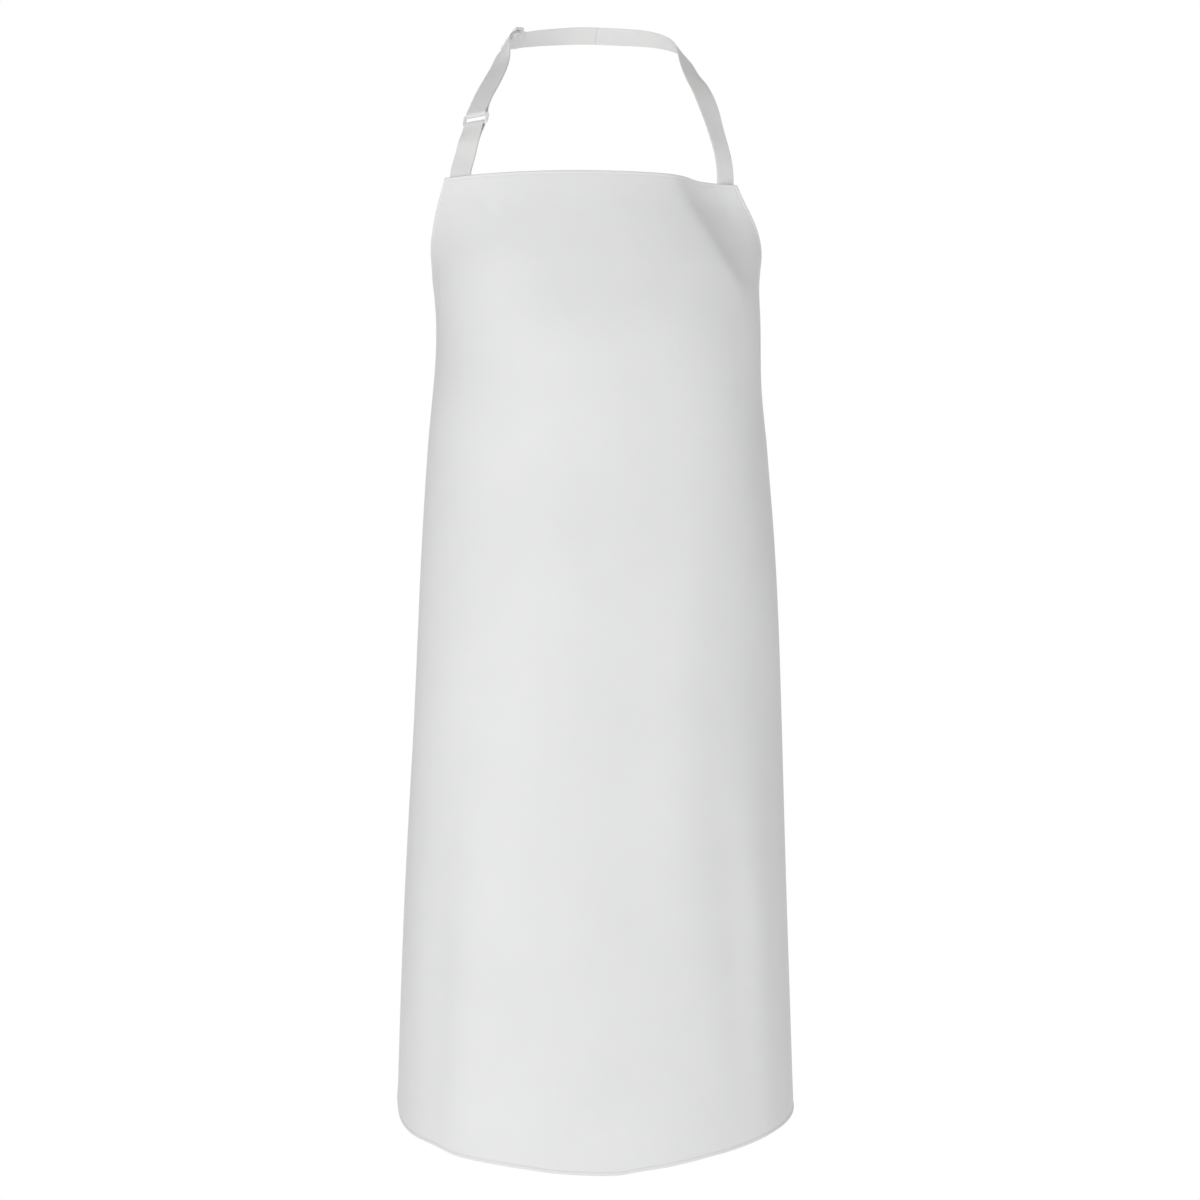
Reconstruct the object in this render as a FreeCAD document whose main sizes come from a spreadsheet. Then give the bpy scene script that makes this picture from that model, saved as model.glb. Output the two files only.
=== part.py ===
import FreeCAD, Part
import math
import os

import Sketcher

# Butcher apron in its worn shape, without a wearer: bib and skirt in one panel of coated
# cloth, an adjustable webbing neck loop with a ring and a slider, and webbing waist ties
# that end in a bow behind the waist.
#
# Frame: origin on the inner face of the neck strap at the nape, +Z up, the apron's front
# faces -Y, and +X is the side of the wearer's left hand.  Lengths are in millimetres.

os.makedirs("parts", exist_ok=True)
doc = FreeCAD.newDocument("butcher_apron")
Vector = FreeCAD.Vector

# ---------------------------------------------------------------- driving dimensions

DIMENSIONS = [
    ("cloth_thickness", 1.0),
    ("bib_flat_width", 345.0),
    ("panel_flat_width", 800.0),
    ("bib_top_level", -177.0),
    ("bib_end_drop", 4.0),
    ("waist_corner_level", -375.0),
    ("armhole_straightness", 0.45),
    ("hem_level", -1243.0),
    ("hem_sweep", 74.0),
    ("hem_corner_radius", 120.0),
    ("hem_width", 8.0),
    ("fold_gap", 0.4),
    ("tape_width", 25.0),
    ("tape_thickness", 1.2),
    ("tape_gap", 0.3),
    ("sewn_gap", 0.6),
    ("sewn_length", 22.0),
    ("strap_inset_left", 0.0),
    ("strap_inset_right", 5.5),
    ("thread_thickness", 0.5),
    ("thread_gap", 0.3),
    ("ring_inner_width", 26.0),
    ("ring_inner_height", 9.0),
    ("ring_bar", 3.0),
    ("slider_width", 32.0),
    ("slider_length", 24.0),
    ("slider_bar", 3.0),
    ("slider_thickness", 2.6),
    ("knot_width", 30.0),
    ("knot_height", 30.0),
    ("knot_depth", 20.0),
]

# Plan sections of the worn cloth.  At each level: half width, depth from the front to the
# widest line, depth behind that line, front position, sideways shift and squareness.
SECTION_FIELDS = ["level", "half_width", "front_depth", "back_depth", "front_y", "shift",
                  "squareness"]
SECTIONS = [
    ("collar", -160.0, 252.0, 212.0, 100.0, -187.0, -13.0, 2.0),
    ("bib", -200.0, 218.0, 172.0, 100.0, -193.0, -9.0, 2.05),
    ("armpit", -240.0, 193.0, 142.0, 105.0, -201.0, -3.5, 2.2),
    ("chest", -280.0, 183.0, 128.0, 108.0, -209.0, -1.0, 2.3),
    ("waist", -360.0, 178.5, 134.0, 108.0, -219.0, -1.0, 2.35),
    ("belly", -470.0, 186.5, 136.0, 112.0, -221.0, 0.0, 2.35),
    ("hip", -640.0, 197.0, 146.0, 120.0, -231.0, 0.0, 2.35),
    ("thigh", -1000.0, 212.5, 158.0, 130.0, -243.0, -2.0, 2.35),
    ("skirt_end", -1260.0, 220.0, 164.0, 134.0, -249.0, -1.5, 2.35),
]

sheet = doc.addObject("Spreadsheet::Sheet", "Dimensions")


def put_in_sheet(row, alias, value):
    sheet.set("A%d" % row, alias)
    sheet.set("B%d" % row, "%g" % value)
    sheet.setAlias("B%d" % row, alias)


sheet_rows = list(DIMENSIONS)
for section in SECTIONS:
    for field, value in zip(SECTION_FIELDS, section[1:]):
        sheet_rows.append(("%s_%s" % (section[0], field), value))
for number, (alias, value) in enumerate(sheet_rows, start=1):
    put_in_sheet(number, alias, value)
doc.recompute()


def size(alias):
    return float(sheet.get(alias))


cloth = size("cloth_thickness")
tape_width = size("tape_width")
tape = size("tape_thickness")
tape_gap = size("tape_gap")
layer_step = tape + tape_gap

# ---------------------------------------------------------------- shape of the worn cloth

SECTION_STEPS = 180


def smooth_value(levels, values, level):
    """Monotone cubic through (levels, values), levels falling."""
    last = len(levels) - 1
    if level >= levels[0]:
        return values[0]
    if level <= levels[last]:
        return values[last]
    steps = [levels[i + 1] - levels[i] for i in range(last)]
    slopes = [(values[i + 1] - values[i]) / steps[i] for i in range(last)]
    tangents = [slopes[0]]
    for i in range(1, last):
        if slopes[i - 1] * slopes[i] <= 0.0:
            tangents.append(0.0)
        else:
            before = 2.0 * steps[i] + steps[i - 1]
            after = steps[i] + 2.0 * steps[i - 1]
            tangents.append((before + after) / (before / slopes[i - 1] + after / slopes[i]))
    tangents.append(slopes[last - 1])
    i = 0
    while level < levels[i + 1]:
        i += 1
    part = (level - levels[i]) / steps[i]
    return (values[i] * (1.0 + 2.0 * part) * (1.0 - part) ** 2
            + tangents[i] * steps[i] * part * (1.0 - part) ** 2
            + values[i + 1] * part ** 2 * (3.0 - 2.0 * part)
            + tangents[i + 1] * steps[i] * part ** 2 * (part - 1.0))


section_levels = [size(name + "_level") for name, *_ in SECTIONS]
section_values = {
    field: [size("%s_%s" % (name, field)) for name, *_ in SECTIONS]
    for field in SECTION_FIELDS[1:]
}
section_cache = {}


def plan_section(level):
    """Half of the cloth's plan curve at a level, as points with their arc length."""
    key = round(level, 4)
    if key in section_cache:
        return section_cache[key]
    at = {field: smooth_value(section_levels, section_values[field], level)
          for field in section_values}
    power = 2.0 / at["squareness"]
    widest_y = at["front_y"] + at["front_depth"]
    points = []
    length = 0.0
    for step in range(SECTION_STEPS + 1):
        angle = math.pi * step / SECTION_STEPS
        x = at["half_width"] * abs(math.sin(angle)) ** power
        reach = abs(math.cos(angle)) ** power
        if step * 2 <= SECTION_STEPS:
            y = widest_y - at["front_depth"] * reach
        else:
            y = widest_y + at["back_depth"] * reach
        if points:
            length += math.hypot(x - points[-1][1], y - points[-1][2])
        points.append((length, x, y))
    section_cache[key] = (points, at["shift"])
    return section_cache[key]


def surface_point(across, level):
    """Point of the cloth's middle surface, across = arc length from the centre line."""
    points, shift = plan_section(level)
    wanted = abs(across)
    low = 0
    high = len(points) - 1
    while high - low > 1:
        middle = (low + high) // 2
        if points[middle][0] <= wanted:
            low = middle
        else:
            high = middle
    start, end = points[low], points[high]
    part = (wanted - start[0]) / (end[0] - start[0])
    x = start[1] + (end[1] - start[1]) * part
    y = start[2] + (end[2] - start[2]) * part
    return Vector(math.copysign(x, across) + shift, y, level)


def surface_normal(across, level):
    """Unit normal of the cloth, away from the wearer."""
    sideways = surface_point(across + 4.0, level) - surface_point(across - 4.0, level)
    upward = surface_point(across, level + 4.0) - surface_point(across, level - 4.0)
    return sideways.cross(upward).normalize()


def cloth_point(across, level, lift):
    return surface_point(across, level) + surface_normal(across, level) * lift


# ---------------------------------------------------------------- flat outline of the panel

top_level = size("bib_top_level")
end_drop = size("bib_end_drop")
waist_level = size("waist_corner_level")
hem_level = size("hem_level")
hem_sweep = size("hem_sweep")
corner_radius = size("hem_corner_radius")
half_bib = size("bib_flat_width") / 2.0
half_panel = size("panel_flat_width") / 2.0
straightness = size("armhole_straightness")
hem_width = size("hem_width")

def bib_edge_level(across):
    """Level of the bib's top edge: a little lower at its ends."""
    return top_level - end_drop * (across / half_bib) ** 2


def hem_edge_level(across):
    """Level of the bottom edge: a shallow sweep that ends in rounded corners."""
    swept = hem_level + hem_sweep * (across / half_panel) ** 2
    outside = abs(across) - (half_panel - corner_radius)
    if outside <= 0.0:
        return swept
    return swept + corner_radius - math.sqrt(max(0.0, corner_radius ** 2 - outside ** 2))


def corner_across_at(level):
    """Half width of the flat panel inside a rounded hem corner."""
    low = half_panel - corner_radius
    high = half_panel
    for _ in range(50):
        middle = (low + high) / 2.0
        if hem_edge_level(middle) < level:
            low = middle
        else:
            high = middle
    return (low + high) / 2.0


def side_edge_across(level):
    """Half width of the flat panel at a level: armhole, straight side, rounded corner."""
    bib_end_level = bib_edge_level(half_bib)
    if level > waist_level:
        drop = max(0.0, (bib_end_level - level) / (bib_end_level - waist_level))
        spread = straightness * drop + (1.0 - straightness) * drop ** 2
        return half_bib + (half_panel - half_bib) * spread
    if level < hem_level + hem_sweep + corner_radius:
        return corner_across_at(level)
    return half_panel


# The patch corner sits part of the way round the rounded hem corner.
corner_turn = math.radians(42.0)
corner_across = half_panel - corner_radius * (1.0 - math.sin(corner_turn))
corner_level = hem_edge_level(corner_across)


# ---------------------------------------------------------------- solids


def closed_solid(faces):
    """Solid from faces that meet edge to edge."""
    skin = Part.makeCompound(faces)
    skin.sewShape(0.001)
    if len(skin.Shells) != 1 or not skin.Shells[0].isClosed():
        raise ValueError("the faces don't close")
    solid = Part.makeSolid(skin.Shells[0])
    solid.fix(0.001, 0.001, 0.001)
    if solid.Volume < 0.0:
        solid.reverse()
    return solid


def spline(points, parameters):
    curve = Part.BSplineCurve()
    curve.interpolate(Points=points, Parameters=parameters)
    return curve


def even_parameters(count):
    return [i / (count - 1.0) for i in range(count)]


def grid_surface(grid):
    """Cubic surface through a grid of points.

    Grids of one size give surfaces with the same knots, so that ruled faces between
    their edges meet them exactly."""
    columns = [spline(points, even_parameters(len(points))) for points in grid]
    column_poles = [curve.getPoles() for curve in columns]
    crossings = [spline(list(points), even_parameters(len(points)))
                 for points in zip(*column_poles)]
    poles = [list(points) for points in zip(*[curve.getPoles() for curve in crossings])]
    surface = Part.BSplineSurface()
    surface.buildFromPolesMultsKnots(
        poles, crossings[0].getMultiplicities(), columns[0].getMultiplicities(),
        crossings[0].getKnots(), columns[0].getKnots(), False, False, 3, 3)
    return surface


def ruled_face(first, second):
    """Face between two curves that have the same knots."""
    surface = Part.BSplineSurface()
    surface.buildFromPolesMultsKnots(
        [first.getPoles(), second.getPoles()], [2, 2], first.getMultiplicities(),
        [0.0, 1.0], first.getKnots(), False, False, 1, first.Degree)
    return surface.toShape()


def solid_between(front_grid, back_grid):
    """Closed solid between two point grids of the same size."""
    front = grid_surface(front_grid)
    back = grid_surface(back_grid)
    faces = [front.toShape(), back.toShape()]
    for edge in (0.0, 1.0):
        faces.append(ruled_face(front.uIso(edge), back.uIso(edge)))
        faces.append(ruled_face(front.vIso(edge), back.vIso(edge)))
    return closed_solid(faces)


def cloth_patch(flat_position, columns, rows, low_lift, high_lift):
    """Solid on the cloth.  flat_position(column 0..1, row 0..1) gives (across, level)."""
    front = []
    back = []
    for i in range(columns + 1):
        flat = [flat_position(i / columns, j / rows) for j in range(rows + 1)]
        front.append([cloth_point(across, level, high_lift) for across, level in flat])
        back.append([cloth_point(across, level, low_lift) for across, level in flat])
    return solid_between(front, back)


# Long tape is made of faces this many frames long, so that its volume is measured well.
TAPE_FACE_FRAMES = 6


def tape_solid(frames, width, thickness):
    """Flat tape through frames of (centre, width direction)."""
    corner_lines = [[], [], [], []]
    lengths = [0.0]
    for i, (centre, across) in enumerate(frames):
        before = frames[max(i - 1, 0)][0]
        after = frames[min(i + 1, len(frames) - 1)][0]
        along = (after - before).normalize()
        face = across.cross(along).normalize()
        side = along.cross(face).normalize()
        half = side * (width / 2.0)
        lift = face * (thickness / 2.0)
        corners = (centre - half + lift, centre + half + lift,
                   centre + half - lift, centre - half - lift)
        for line, corner in zip(corner_lines, corners):
            line.append(corner)
        if i > 0:
            lengths.append(lengths[-1] + (centre - frames[i - 1][0]).Length)
    curves = [spline(line, lengths) for line in corner_lines]
    cuts = lengths[:-TAPE_FACE_FRAMES // 2:TAPE_FACE_FRAMES] + [lengths[-1]]
    faces = []
    for cut, next_cut in zip(cuts, cuts[1:]):
        edges = []
        for curve in curves:
            edge = curve.copy()
            edge.segment(cut, next_cut)
            edges.append(edge)
        faces += [ruled_face(edges[i], edges[(i + 1) % 4]) for i in range(4)]
    for end in (0, -1):
        points = [line[end] for line in corner_lines]
        faces.append(Part.Face(Part.makePolygon(points + [points[0]])))
    return closed_solid(faces)


nodes = []


def add_node(name, shape):
    node = doc.addObject("Part::Feature", name)
    node.Label = name
    node.Shape = shape
    node.Placement = FreeCAD.Placement()
    nodes.append(node)
    return node


# ---------------------------------------------------------------- panel and its hems


def panel_position(column, row):
    side = 2.0 * column - 1.0
    start = bib_edge_level(half_bib * side)
    edge_level = bib_edge_level(half_bib) + (corner_level - bib_edge_level(half_bib)) * row
    across = side_edge_across(edge_level) * side
    end = hem_edge_level(corner_across * side)
    return across, start + (end - start) * row


add_node("apron_panel", cloth_patch(panel_position, 36, 44, -cloth / 2.0, cloth / 2.0))

fold_high = -cloth / 2.0 - size("fold_gap")
fold_low = fold_high - cloth


def top_fold(column, row):
    across = (2.0 * column - 1.0) * (half_bib - hem_width - 1.0)
    return across, bib_edge_level(across) - 0.3 - hem_width * row


def hem_fold(column, row):
    across = (2.0 * column - 1.0) * (corner_across - hem_width - 1.0)
    return across, hem_edge_level(across) + 0.4 + hem_width * row


def side_strip(first_level, last_level, direction):
    """Turned edge along a side of the panel, on the side given by direction."""
    def position(column, row):
        level = first_level + (last_level - first_level) * column
        return direction * (side_edge_across(level) - 0.3 - hem_width * row), level
    return position


add_node("hem_top", cloth_patch(top_fold, 24, 3, fold_low, fold_high))
add_node("hem_bottom", cloth_patch(hem_fold, 40, 3, fold_low, fold_high))
for side_name, direction in (("left", 1.0), ("right", -1.0)):
    armhole = side_strip(bib_edge_level(half_bib) - 0.5, waist_level + 2.0, direction)
    skirt_side = side_strip(waist_level - 2.0, corner_level + 4.0, direction)
    add_node("hem_armhole_" + side_name,
             cloth_patch(armhole, 20, 3, fold_low, fold_high))
    add_node("hem_side_" + side_name,
             cloth_patch(skirt_side, 40, 3, fold_low, fold_high))

# ---------------------------------------------------------------- path of the neck loop

sewn_length = size("sewn_length")
sewn_lift = fold_low - size("sewn_gap") - tape / 2.0
strap_places = {
    "left": half_bib - tape_width / 2.0 - size("strap_inset_left"),
    "right": tape_width / 2.0 + size("strap_inset_right") - half_bib,
}


def sewn_frames(across):
    """Centre and face direction of tape lying behind the bib corner, from its end up."""
    bib_end = bib_edge_level(across)
    return [(cloth_point(across, level, sewn_lift), surface_normal(across, level))
            for level in (bib_end - sewn_length, bib_end - sewn_length / 2.0, bib_end)]



# Neck loop from the bib end on the wearer's left, up over that shoulder: centre of the tape
# and the direction its outer face looks in.
LEFT_SHOULDER = [
    (Vector(131.0, -140.0, -149.0), Vector(0.58, -0.80, 0.16)),
    (Vector(125.0, -134.0, -124.0), Vector(0.52, -0.77, 0.36)),
    (Vector(118.0, -119.0, -93.0), Vector(0.32, -0.78, 0.54)),
    (Vector(111.5, -101.0, -70.5), Vector(0.30, -0.65, 0.70)),
    (Vector(104.5, -76.0, -48.0), Vector(0.52, -0.48, 0.71)),
    (Vector(97.5, -42.0, -20.0), Vector(0.68, 0.02, 0.73)),
]
NAPE = [
    (Vector(67.0, -12.5, -4.0), Vector(0.34, 0.50, 0.79)),
    (Vector(31.0, -2.6, -0.6), Vector(0.12, 0.62, 0.77)),
    (Vector(-4.0, 0.4, 0.4), Vector(0.0, 0.64, 0.77)),
    (Vector(-38.0, -5.0, -2.5), Vector(-0.16, 0.60, 0.77)),
    (Vector(-66.0, -18.0, -7.5), Vector(-0.45, 0.45, 0.74)),
]
slider_centre = Vector(-87.5, -37.0, -12.5)
slider_along = Vector(-0.48, -0.86, -0.14).normalize()
slider_face = Vector(-0.70, 0.28, 0.66)
SLIDER_RUN = [
    (slider_centre + slider_along * step, slider_face)
    for step in (-14.0, -7.0, 0.0, 7.0, 14.0)
]
RIGHT_SHOULDER = [
    (Vector(-103.5, -62.5, -36.5), Vector(-0.66, -0.33, 0.67)),
    (Vector(-112.0, -81.0, -57.0), Vector(-0.52, -0.50, 0.69)),
    (Vector(-121.0, -97.0, -74.0), Vector(-0.48, -0.55, 0.69)),
    (Vector(-129.0, -110.0, -89.0), Vector(-0.54, -0.60, 0.59)),
]
ring_centre = Vector(-137.8, -125.0, -114.5)
ring_along = Vector(-0.23, -0.40, -0.88).normalize()
ring_face = Vector(-0.60, -0.72, 0.33)
RING_RUN = [
    (ring_centre + ring_along * step, ring_face) for step in (-10.0, 0.0, 10.0)
]
RIGHT_CHEST = [
    (Vector(-146.0, -137.0, -139.0), Vector(-0.58, -0.79, 0.12)),
    (Vector(-151.5, -141.0, -160.0), Vector(-0.57, -0.81, 0.06)),
]

loop_stations = (sewn_frames(strap_places["left"]) + LEFT_SHOULDER + NAPE + SLIDER_RUN
                 + RIGHT_SHOULDER + RING_RUN + RIGHT_CHEST
                 + sewn_frames(strap_places["right"])[::-1])

station_lengths = [0.0]
for before, after in zip(loop_stations, loop_stations[1:]):
    station_lengths.append(station_lengths[-1] + (after[0] - before[0]).Length)
loop_curve = Part.BSplineCurve()
loop_curve.interpolate(Points=[centre for centre, _ in loop_stations],
                       Parameters=station_lengths)
loop_length = station_lengths[-1]
falling_lengths = [-length for length in station_lengths]
face_parts = [[face[axis] for _, face in loop_stations] for axis in range(3)]


def loop_face(station):
    """Direction in which the outer face of the neck loop looks."""
    return Vector(*[smooth_value(falling_lengths, part, -station) for part in face_parts])


def station_of(centre):
    for (place, _), length in zip(loop_stations, station_lengths):
        if (place - centre).Length < 0.001:
            return length
    raise ValueError("not a station of the neck loop")


slider_station = station_of(slider_centre)
ring_station = station_of(ring_centre)


def loop_frame(station):
    """Centre, direction along, outer face direction and width direction."""
    station = min(max(station, 0.0), loop_length)
    centre = loop_curve.value(station)
    along = loop_curve.tangent(station)[0].normalize()
    across = along.cross(loop_face(station)).normalize()
    return centre, along, across.cross(along).normalize(), across


def tape_along_loop(profile, width=tape_width, thickness=tape):
    """Tape from (station, lift off the loop's centre surface) pairs."""
    frames = []
    for station, lift in profile:
        centre, _, face, across = loop_frame(station)
        frames.append((centre + face * lift, across))
    return tape_solid(frames, width, thickness)


def shifted(profile, station):
    return [(station + step, lift) for step, lift in profile]


# Webbing at the slider: under its outer bars and over its middle bar.
OVER_SLIDER = [(-20.0, 0.0), (-16.0, 0.0), (-12.5, -0.05), (-10.5, -0.1), (-9.2, -0.05),
               (-8.2, 0.4), (-7.0, 1.4), (-5.6, 2.8), (-4.2, 4.2), (-3.0, 5.2), (-1.6, 5.8),
               (0.0, 5.95), (1.6, 5.8), (3.0, 5.2), (4.2, 4.2), (5.6, 2.8), (7.0, 1.4),
               (8.2, 0.4), (9.2, -0.05), (10.5, -0.1), (12.5, -0.05), (16.0, 0.0)]
# Webbing coming down to the ring, spreading to pass its upper bar.
DOWN_TO_RING = [(-36.0, 0.0), (-28.0, 0.0), (-20.0, 0.15), (-15.0, 0.5), (-12.4, 0.85)]
# The same webbing from there: round the upper bar and back up on the inside.
ROUND_RING = [(-12.0, 0.9), (-9.5, 1.35), (-7.5, 1.62), (-6.0, 1.65), (-4.3, 0.95),
              (-3.6, -0.75), (-4.3, -2.45), (-6.0, -3.15), (-7.5, -3.12), (-9.5, -2.85),
              (-12.0, -2.4), (-15.0, -2.0), (-20.0, -1.65), (-28.0, -1.5)]
# Its end at the slider: over the middle bar from the inside and back under itself.
ROUND_SLIDER_BAR = [(24.0, -1.5), (16.0, -1.5), (12.0, -1.5), (9.0, -1.5), (6.6, -1.2),
                    (4.8, -0.4), (3.4, 0.8), (2.6, 2.2), (2.1, 3.5), (0.9, 4.35), (-0.9, 4.35),
                    (-2.1, 3.5), (-2.4, 2.2), (-2.0, 0.9), (-0.6, 0.0), (1.2, -0.4),
                    (3.0, -1.5), (4.8, -2.5), (7.5, -3.0), (12.0, -3.05), (18.0, -3.05)]
# Webbing that holds the ring: up on the outside, round the lower bar, down on the inside.
ROUND_RING_TAB = [(30.0, 0.0), (24.0, 0.1), (18.0, 0.45), (13.0, 0.95), (9.0, 1.5),
                  (6.0, 1.65), (4.3, 0.95), (3.6, -0.75), (4.3, -2.45), (6.0, -3.15),
                  (9.0, -3.0), (13.0, -2.45), (18.0, -1.95), (24.0, -1.6), (30.0, -1.5)]

plain_steps = 26
last_plain = slider_station - 26.0
neck_profile = [(last_plain * i / plain_steps, 0.0) for i in range(plain_steps + 1)]
neck_profile += shifted(OVER_SLIDER, slider_station)
run_start = slider_station + 22.0
run_end = ring_station - 42.0
run_steps = 9
neck_profile += [(run_start + (run_end - run_start) * i / run_steps, 0.0)
                 for i in range(run_steps + 1)]
neck_profile += shifted(DOWN_TO_RING, ring_station)
add_node("neck_strap", tape_along_loop(neck_profile))

return_profile = shifted(ROUND_RING, ring_station)
return_first = slider_station + 30.0
return_last = ring_station - 36.0
return_profile += [(return_last + (return_first - return_last) * i / run_steps, -layer_step)
                   for i in range(run_steps + 1)]
return_profile += shifted(ROUND_SLIDER_BAR, slider_station)
add_node("strap_return", tape_along_loop(return_profile))

tab_end = loop_length
tab_profile = [(tab_end, 0.0), (tab_end - 11.0, 0.0), (tab_end - sewn_length, 0.0)]
tab_back = [(tab_end - sewn_length, -layer_step), (tab_end - 11.0, -layer_step),
            (tab_end - 3.0, -layer_step)]
tab_profile += shifted(ROUND_RING_TAB, ring_station) + tab_back
add_node("ring_tab", tape_along_loop(tab_profile))

# ---------------------------------------------------------------- ring and slider


def set_length(sketch, kind, geometry, formula):
    """Length constraint on a line of a sketch, bound to the sheet."""
    line = sketch.Geometry[geometry]
    length = abs(line.EndPoint.x - line.StartPoint.x)
    if kind == "DistanceY":
        length = abs(line.EndPoint.y - line.StartPoint.y)
    index = sketch.addConstraint(Sketcher.Constraint(kind, geometry, 1, geometry, 2, length))
    sketch.setExpression("Constraints[%d]" % index, formula)


def centred_rectangle(sketch, width, height, centre_y=None):
    """Rectangle centred on the Y axis, and on the X axis too if centre_y isn't given."""
    centred = centre_y is None
    if centred:
        centre_y = 0.0
    left, right = -width / 2.0, width / 2.0
    low, high = centre_y - height / 2.0, centre_y + height / 2.0
    corners = [Vector(left, low, 0), Vector(right, low, 0),
               Vector(right, high, 0), Vector(left, high, 0)]
    first = sketch.GeometryCount
    for i in range(4):
        sketch.addGeometry(Part.LineSegment(corners[i], corners[(i + 1) % 4]), False)
    for i in range(4):
        sketch.addConstraint(
            Sketcher.Constraint("Coincident", first + i, 2, first + (i + 1) % 4, 1))
    sketch.addConstraint(Sketcher.Constraint("Horizontal", first + 2))
    sketch.addConstraint(Sketcher.Constraint("Vertical", first + 3))
    sketch.addConstraint(Sketcher.Constraint("Symmetric", first, 1, first, 2, -2))
    if centred:
        sketch.addConstraint(Sketcher.Constraint("Symmetric", first + 1, 1, first + 1, 2, -1))
    else:
        sketch.addConstraint(Sketcher.Constraint("Vertical", first + 1))
    return first


def sketch_on_plane(body, name):
    plane = [item for item in body.Origin.OriginFeatures if item.Role == "XY_Plane"][0]
    sketch = body.newObject("Sketcher::SketchObject", name)
    sketch.AttachmentSupport = (plane, [""])
    sketch.MapMode = "FlatFace"
    return sketch


def round_long_edges(body, base, name, radius):
    """Fillet every edge of the two flat faces."""
    flat_edges = []
    for number, edge in enumerate(base.Shape.Edges, start=1):
        heights = [vertex.Point.z for vertex in edge.Vertexes]
        if abs(heights[0] - heights[-1]) < 0.001:
            flat_edges.append("Edge%d" % number)
    fillet = body.newObject("PartDesign::Fillet", name)
    fillet.Base = (base, flat_edges)
    fillet.Radius = radius
    doc.recompute()
    return fillet


def loop_placement(station, lift):
    """Placement with X across the tape, Y along it and Z out of its face."""
    centre, along, face, across = loop_frame(station)
    turn = FreeCAD.Rotation(across, along * -1.0, face, "ZXY")
    return FreeCAD.Placement(centre + face * lift, turn)


def hardware_body(name, outer, holes, outer_formulas, hole_formulas, thickness_formula,
                  placement, corner, rounding):
    """Flat plastic frame with rectangular openings and rounded edges."""
    body = doc.addObject("PartDesign::Body", name)
    body.Label = name
    outline = sketch_on_plane(body, name + "_outline")
    first = centred_rectangle(outline, *outer)
    set_length(outline, "DistanceX", first, outer_formulas[0])
    set_length(outline, "DistanceY", first + 1, outer_formulas[1])
    doc.recompute()
    pad = body.newObject("PartDesign::Pad", name + "_plate")
    pad.Profile = outline
    pad.Length = 2.0
    pad.setExpression("Length", thickness_formula)
    pad.Midplane = True
    doc.recompute()
    upright = []
    for number, edge in enumerate(pad.Shape.Edges, start=1):
        heights = [vertex.Point.z for vertex in edge.Vertexes]
        if abs(heights[0] - heights[-1]) > 0.5:
            upright.append("Edge%d" % number)
    corners = body.newObject("PartDesign::Fillet", name + "_corners")
    corners.Base = (pad, upright)
    corners.Radius = corner
    doc.recompute()
    openings = sketch_on_plane(body, name + "_openings")
    for width, height, centre_y in holes:
        first = centred_rectangle(openings, width, height, centre_y)
        set_length(openings, "DistanceX", first, hole_formulas[0])
        set_length(openings, "DistanceY", first + 1, hole_formulas[1])
        middle = openings.addConstraint(
            Sketcher.Constraint("DistanceY", -1, 1, first, 1, centre_y - height / 2.0))
        if len(holes) == 1:
            openings.setExpression("Constraints[%d]" % middle,
                                   "-(%s) / 2" % hole_formulas[1])
    doc.recompute()
    solid_before = corners.Shape.Volume
    pocket = body.newObject("PartDesign::Pocket", name + "_slots")
    pocket.Profile = openings
    pocket.Type = "ThroughAll"
    pocket.Midplane = True
    doc.recompute()
    if pocket.Shape.Volume > solid_before - 1.0:
        raise ValueError("the openings of %s cut nothing" % name)
    rounded = round_long_edges(body, pocket, name + "_rounding", rounding)
    body.Tip = rounded
    body.Placement = placement
    nodes.append(body)
    doc.recompute()
    return body


ring_width = size("ring_inner_width")
ring_height = size("ring_inner_height")
ring_bar = size("ring_bar")
ring_lift = -layer_step / 2.0
hardware_body(
    "strap_ring",
    (ring_width + 2.0 * ring_bar, ring_height + 2.0 * ring_bar),
    [(ring_width, ring_height, 0.0)],
    ("Dimensions.ring_inner_width + 2 * Dimensions.ring_bar",
     "Dimensions.ring_inner_height + 2 * Dimensions.ring_bar"),
    ("Dimensions.ring_inner_width", "Dimensions.ring_inner_height"),
    "Dimensions.ring_bar", loop_placement(ring_station, ring_lift), 2.0, 1.3)

slider_bar = size("slider_bar")
slider_slot = (size("slider_length") - 3.0 * slider_bar) / 2.0
slot_centre = (slider_slot + slider_bar) / 2.0
slider_lift = tape / 2.0 + tape_gap + size("slider_thickness") / 2.0
slot_width = size("slider_width") - 2.0 * slider_bar
hardware_body(
    "strap_slider",
    (size("slider_width"), size("slider_length")),
    [(slot_width, slider_slot, slot_centre), (slot_width, slider_slot, -slot_centre)],
    ("Dimensions.slider_width", "Dimensions.slider_length"),
    ("Dimensions.slider_width - 2 * Dimensions.slider_bar",
     "(Dimensions.slider_length - 3 * Dimensions.slider_bar) / 2"),
    "Dimensions.slider_thickness", loop_placement(slider_station, slider_lift), 2.5, 1.0)

# ---------------------------------------------------------------- waist ties and bow

tie_level = waist_level - tape_width / 2.0 - 2.0
knot_width = size("knot_width")
knot_height = size("knot_height")
knot_depth = size("knot_depth")
knot_centre = Vector(0.0, 58.0, tie_level - 8.0)
tie_inset = knot_depth / 2.0 - 5.0
bow_outset = tape_width / 2.0 - 5.0


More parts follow.
